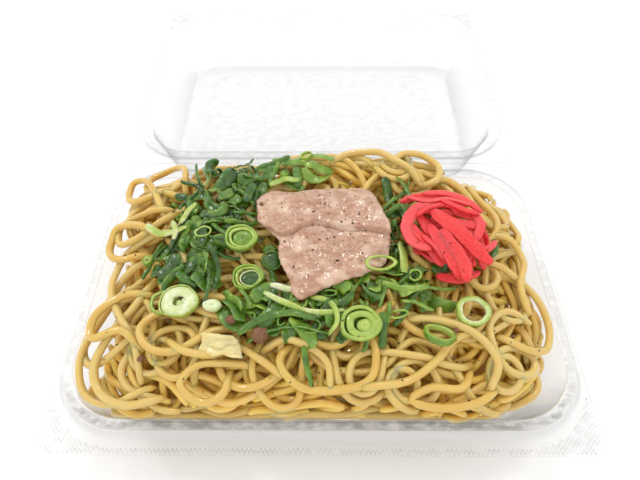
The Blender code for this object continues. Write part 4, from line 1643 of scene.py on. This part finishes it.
place_piece(ginger, "tray", "ginger", "pickled_ginger")

# ==== build: pepper and crumbs ====


def scattered(name, mat, spots, sizes, random, divisions=1, sunk=0.3):
    """Small uneven grains lying on the heap."""
    template = bmesh.new()
    bmesh.ops.create_icosphere(template, subdivisions=divisions, radius=1.0)
    ball = np.array([vertex.co for vertex in template.verts])
    faces = np.array([[vertex.index for vertex in face.verts] for face in template.faces])
    template.free()
    points, triangles = [], []
    for index, ((x, y), size) in enumerate(zip(spots, sizes)):
        stretch = random.uniform(0.7, 1.25, 3)
        jitter = 1 + random.normal(0, 0.13, (len(ball), 1))
        turn = np.array(Matrix.Rotation(random.uniform(0, 6), 3, random.normal(0, 1, 3)))
        grain = (ball * stretch * jitter * size) @ turn.T
        z = min(heap.at(x, y), ceiling.at(x, y) - 2 * size) + size * (1 - 2 * sunk) * 0.5
        points.append(grain + (x, y, z))
        triangles.append(faces + index * len(ball))
    return mesh_piece(name, np.concatenate(points), [np.concatenate(triangles)], mat)


random = np.random.default_rng(5)
pepper_mat = speck_look("pepper", (0.012, 0.008, 0.005), (0.07, 0.04, 0.02))
spots = random.uniform((-80, -50), (78, 50), (170, 2))
spots = np.vstack((spots, random.normal((6, 8), (12, 9), (60, 2))))
spots = spots[heap_region(*spots.T)[0] > 3]
sizes = random.uniform(0.18, 0.42, len(spots))
place_piece(scattered("pepper_grains", pepper_mat, spots, sizes, random), "tray")
crumb_mat = speck_look("meat_crumb", (0.16, 0.065, 0.03), (0.30, 0.14, 0.07))
crumb_spots = ((-29.5, -25.5), (-19.5, -30.5), (-60, -36), (-22, 20), (46, -28), (60, -12))
crumb_sizes = (1.6, 2.3, 1.1, 0.9, 1.0, 0.9)
crumbs = scattered("meat_crumbs", crumb_mat, crumb_spots, crumb_sizes, random, 3, 0.55)
place_piece(crumbs, "tray")

# ==== stage, light, camera ====


def lay_floor():
    look = Look("floor")
    faint = look.noise(60.0, 2.0)
    look.set(Base_Color=look.ramp(faint, (0.3, 0.955), (0.7, 0.965)), Roughness=0.55)
    bm = bmesh.new()
    bmesh.ops.create_circle(bm, cap_ends=True, segments=96, radius=6.0)
    mesh = bpy.data.meshes.new("floor")
    bm.to_mesh(mesh)
    bm.free()
    mesh.materials.append(look.material)
    floor = link(bpy.data.objects.new("floor", mesh))
    floor.location.z = cad_low.z - 0.0003


def light_the_studio():
    world = bpy.data.worlds.new("studio")
    bpy.context.scene.world = world
    world.use_nodes = True
    tree = world.node_tree
    place, split, ramp = (
        tree.nodes.new("ShaderNode" + kind) for kind in ("TexCoord", "SeparateXYZ", "ValToRGB")
    )
    background = tree.nodes["Background"]
    tree.links.new(place.outputs["Generated"], split.inputs[0])
    tree.links.new(split.outputs["Z"], ramp.inputs["Fac"])
    tree.links.new(ramp.outputs["Color"], background.inputs["Color"])
    below, above = ramp.color_ramp.elements
    below.position, below.color = 0.0, (0.88, 0.89, 0.90, 1)
    above.position, above.color = 0.55, (1.0, 1.0, 1.0, 1)
    background.inputs["Strength"].default_value = SKY_STRENGTH

    for name, place, size, power, in_reflections in LAMPS:
        lamp = bpy.data.lights.new(name, "AREA")
        lamp.shape = "DISK"
        lamp.size = size
        lamp.energy = power
        light = link(bpy.data.objects.new(name, lamp))
        light.location = place
        light.visible_glossy = in_reflections
        aim = LIGHT_AIM - Vector(place)
        light.rotation_euler = aim.to_track_quat("-Z", "Y").to_euler()


def make_camera():
    pitch, yaw, roll = (math.radians(v) for v in (CAMERA_PITCH, CAMERA_YAW, CAMERA_ROLL))
    ahead = Vector(
        (math.sin(yaw) * math.cos(pitch), math.cos(yaw) * math.cos(pitch), -math.sin(pitch))
    )
    level = Vector((math.cos(yaw), -math.sin(yaw), 0.0))
    over = level.cross(ahead)
    right = level * math.cos(roll) + over * math.sin(roll)
    top = over * math.cos(roll) - level * math.sin(roll)
    data = bpy.data.cameras.new("camera")
    data.lens = CAMERA_LENS
    data.sensor_width = SENSOR
    camera = link(bpy.data.objects.new("camera", data))
    turned = Matrix((right, top, -ahead)).transposed().to_4x4()
    turned.translation = Vector(CAMERA_PLACE) * MM
    camera.matrix_world = turned
    bpy.context.scene.camera = camera


lay_floor()
light_the_studio()
make_camera()
bpy.context.scene.view_settings.view_transform = "Standard"
bpy.context.scene.cycles.transparent_max_bounces = 32
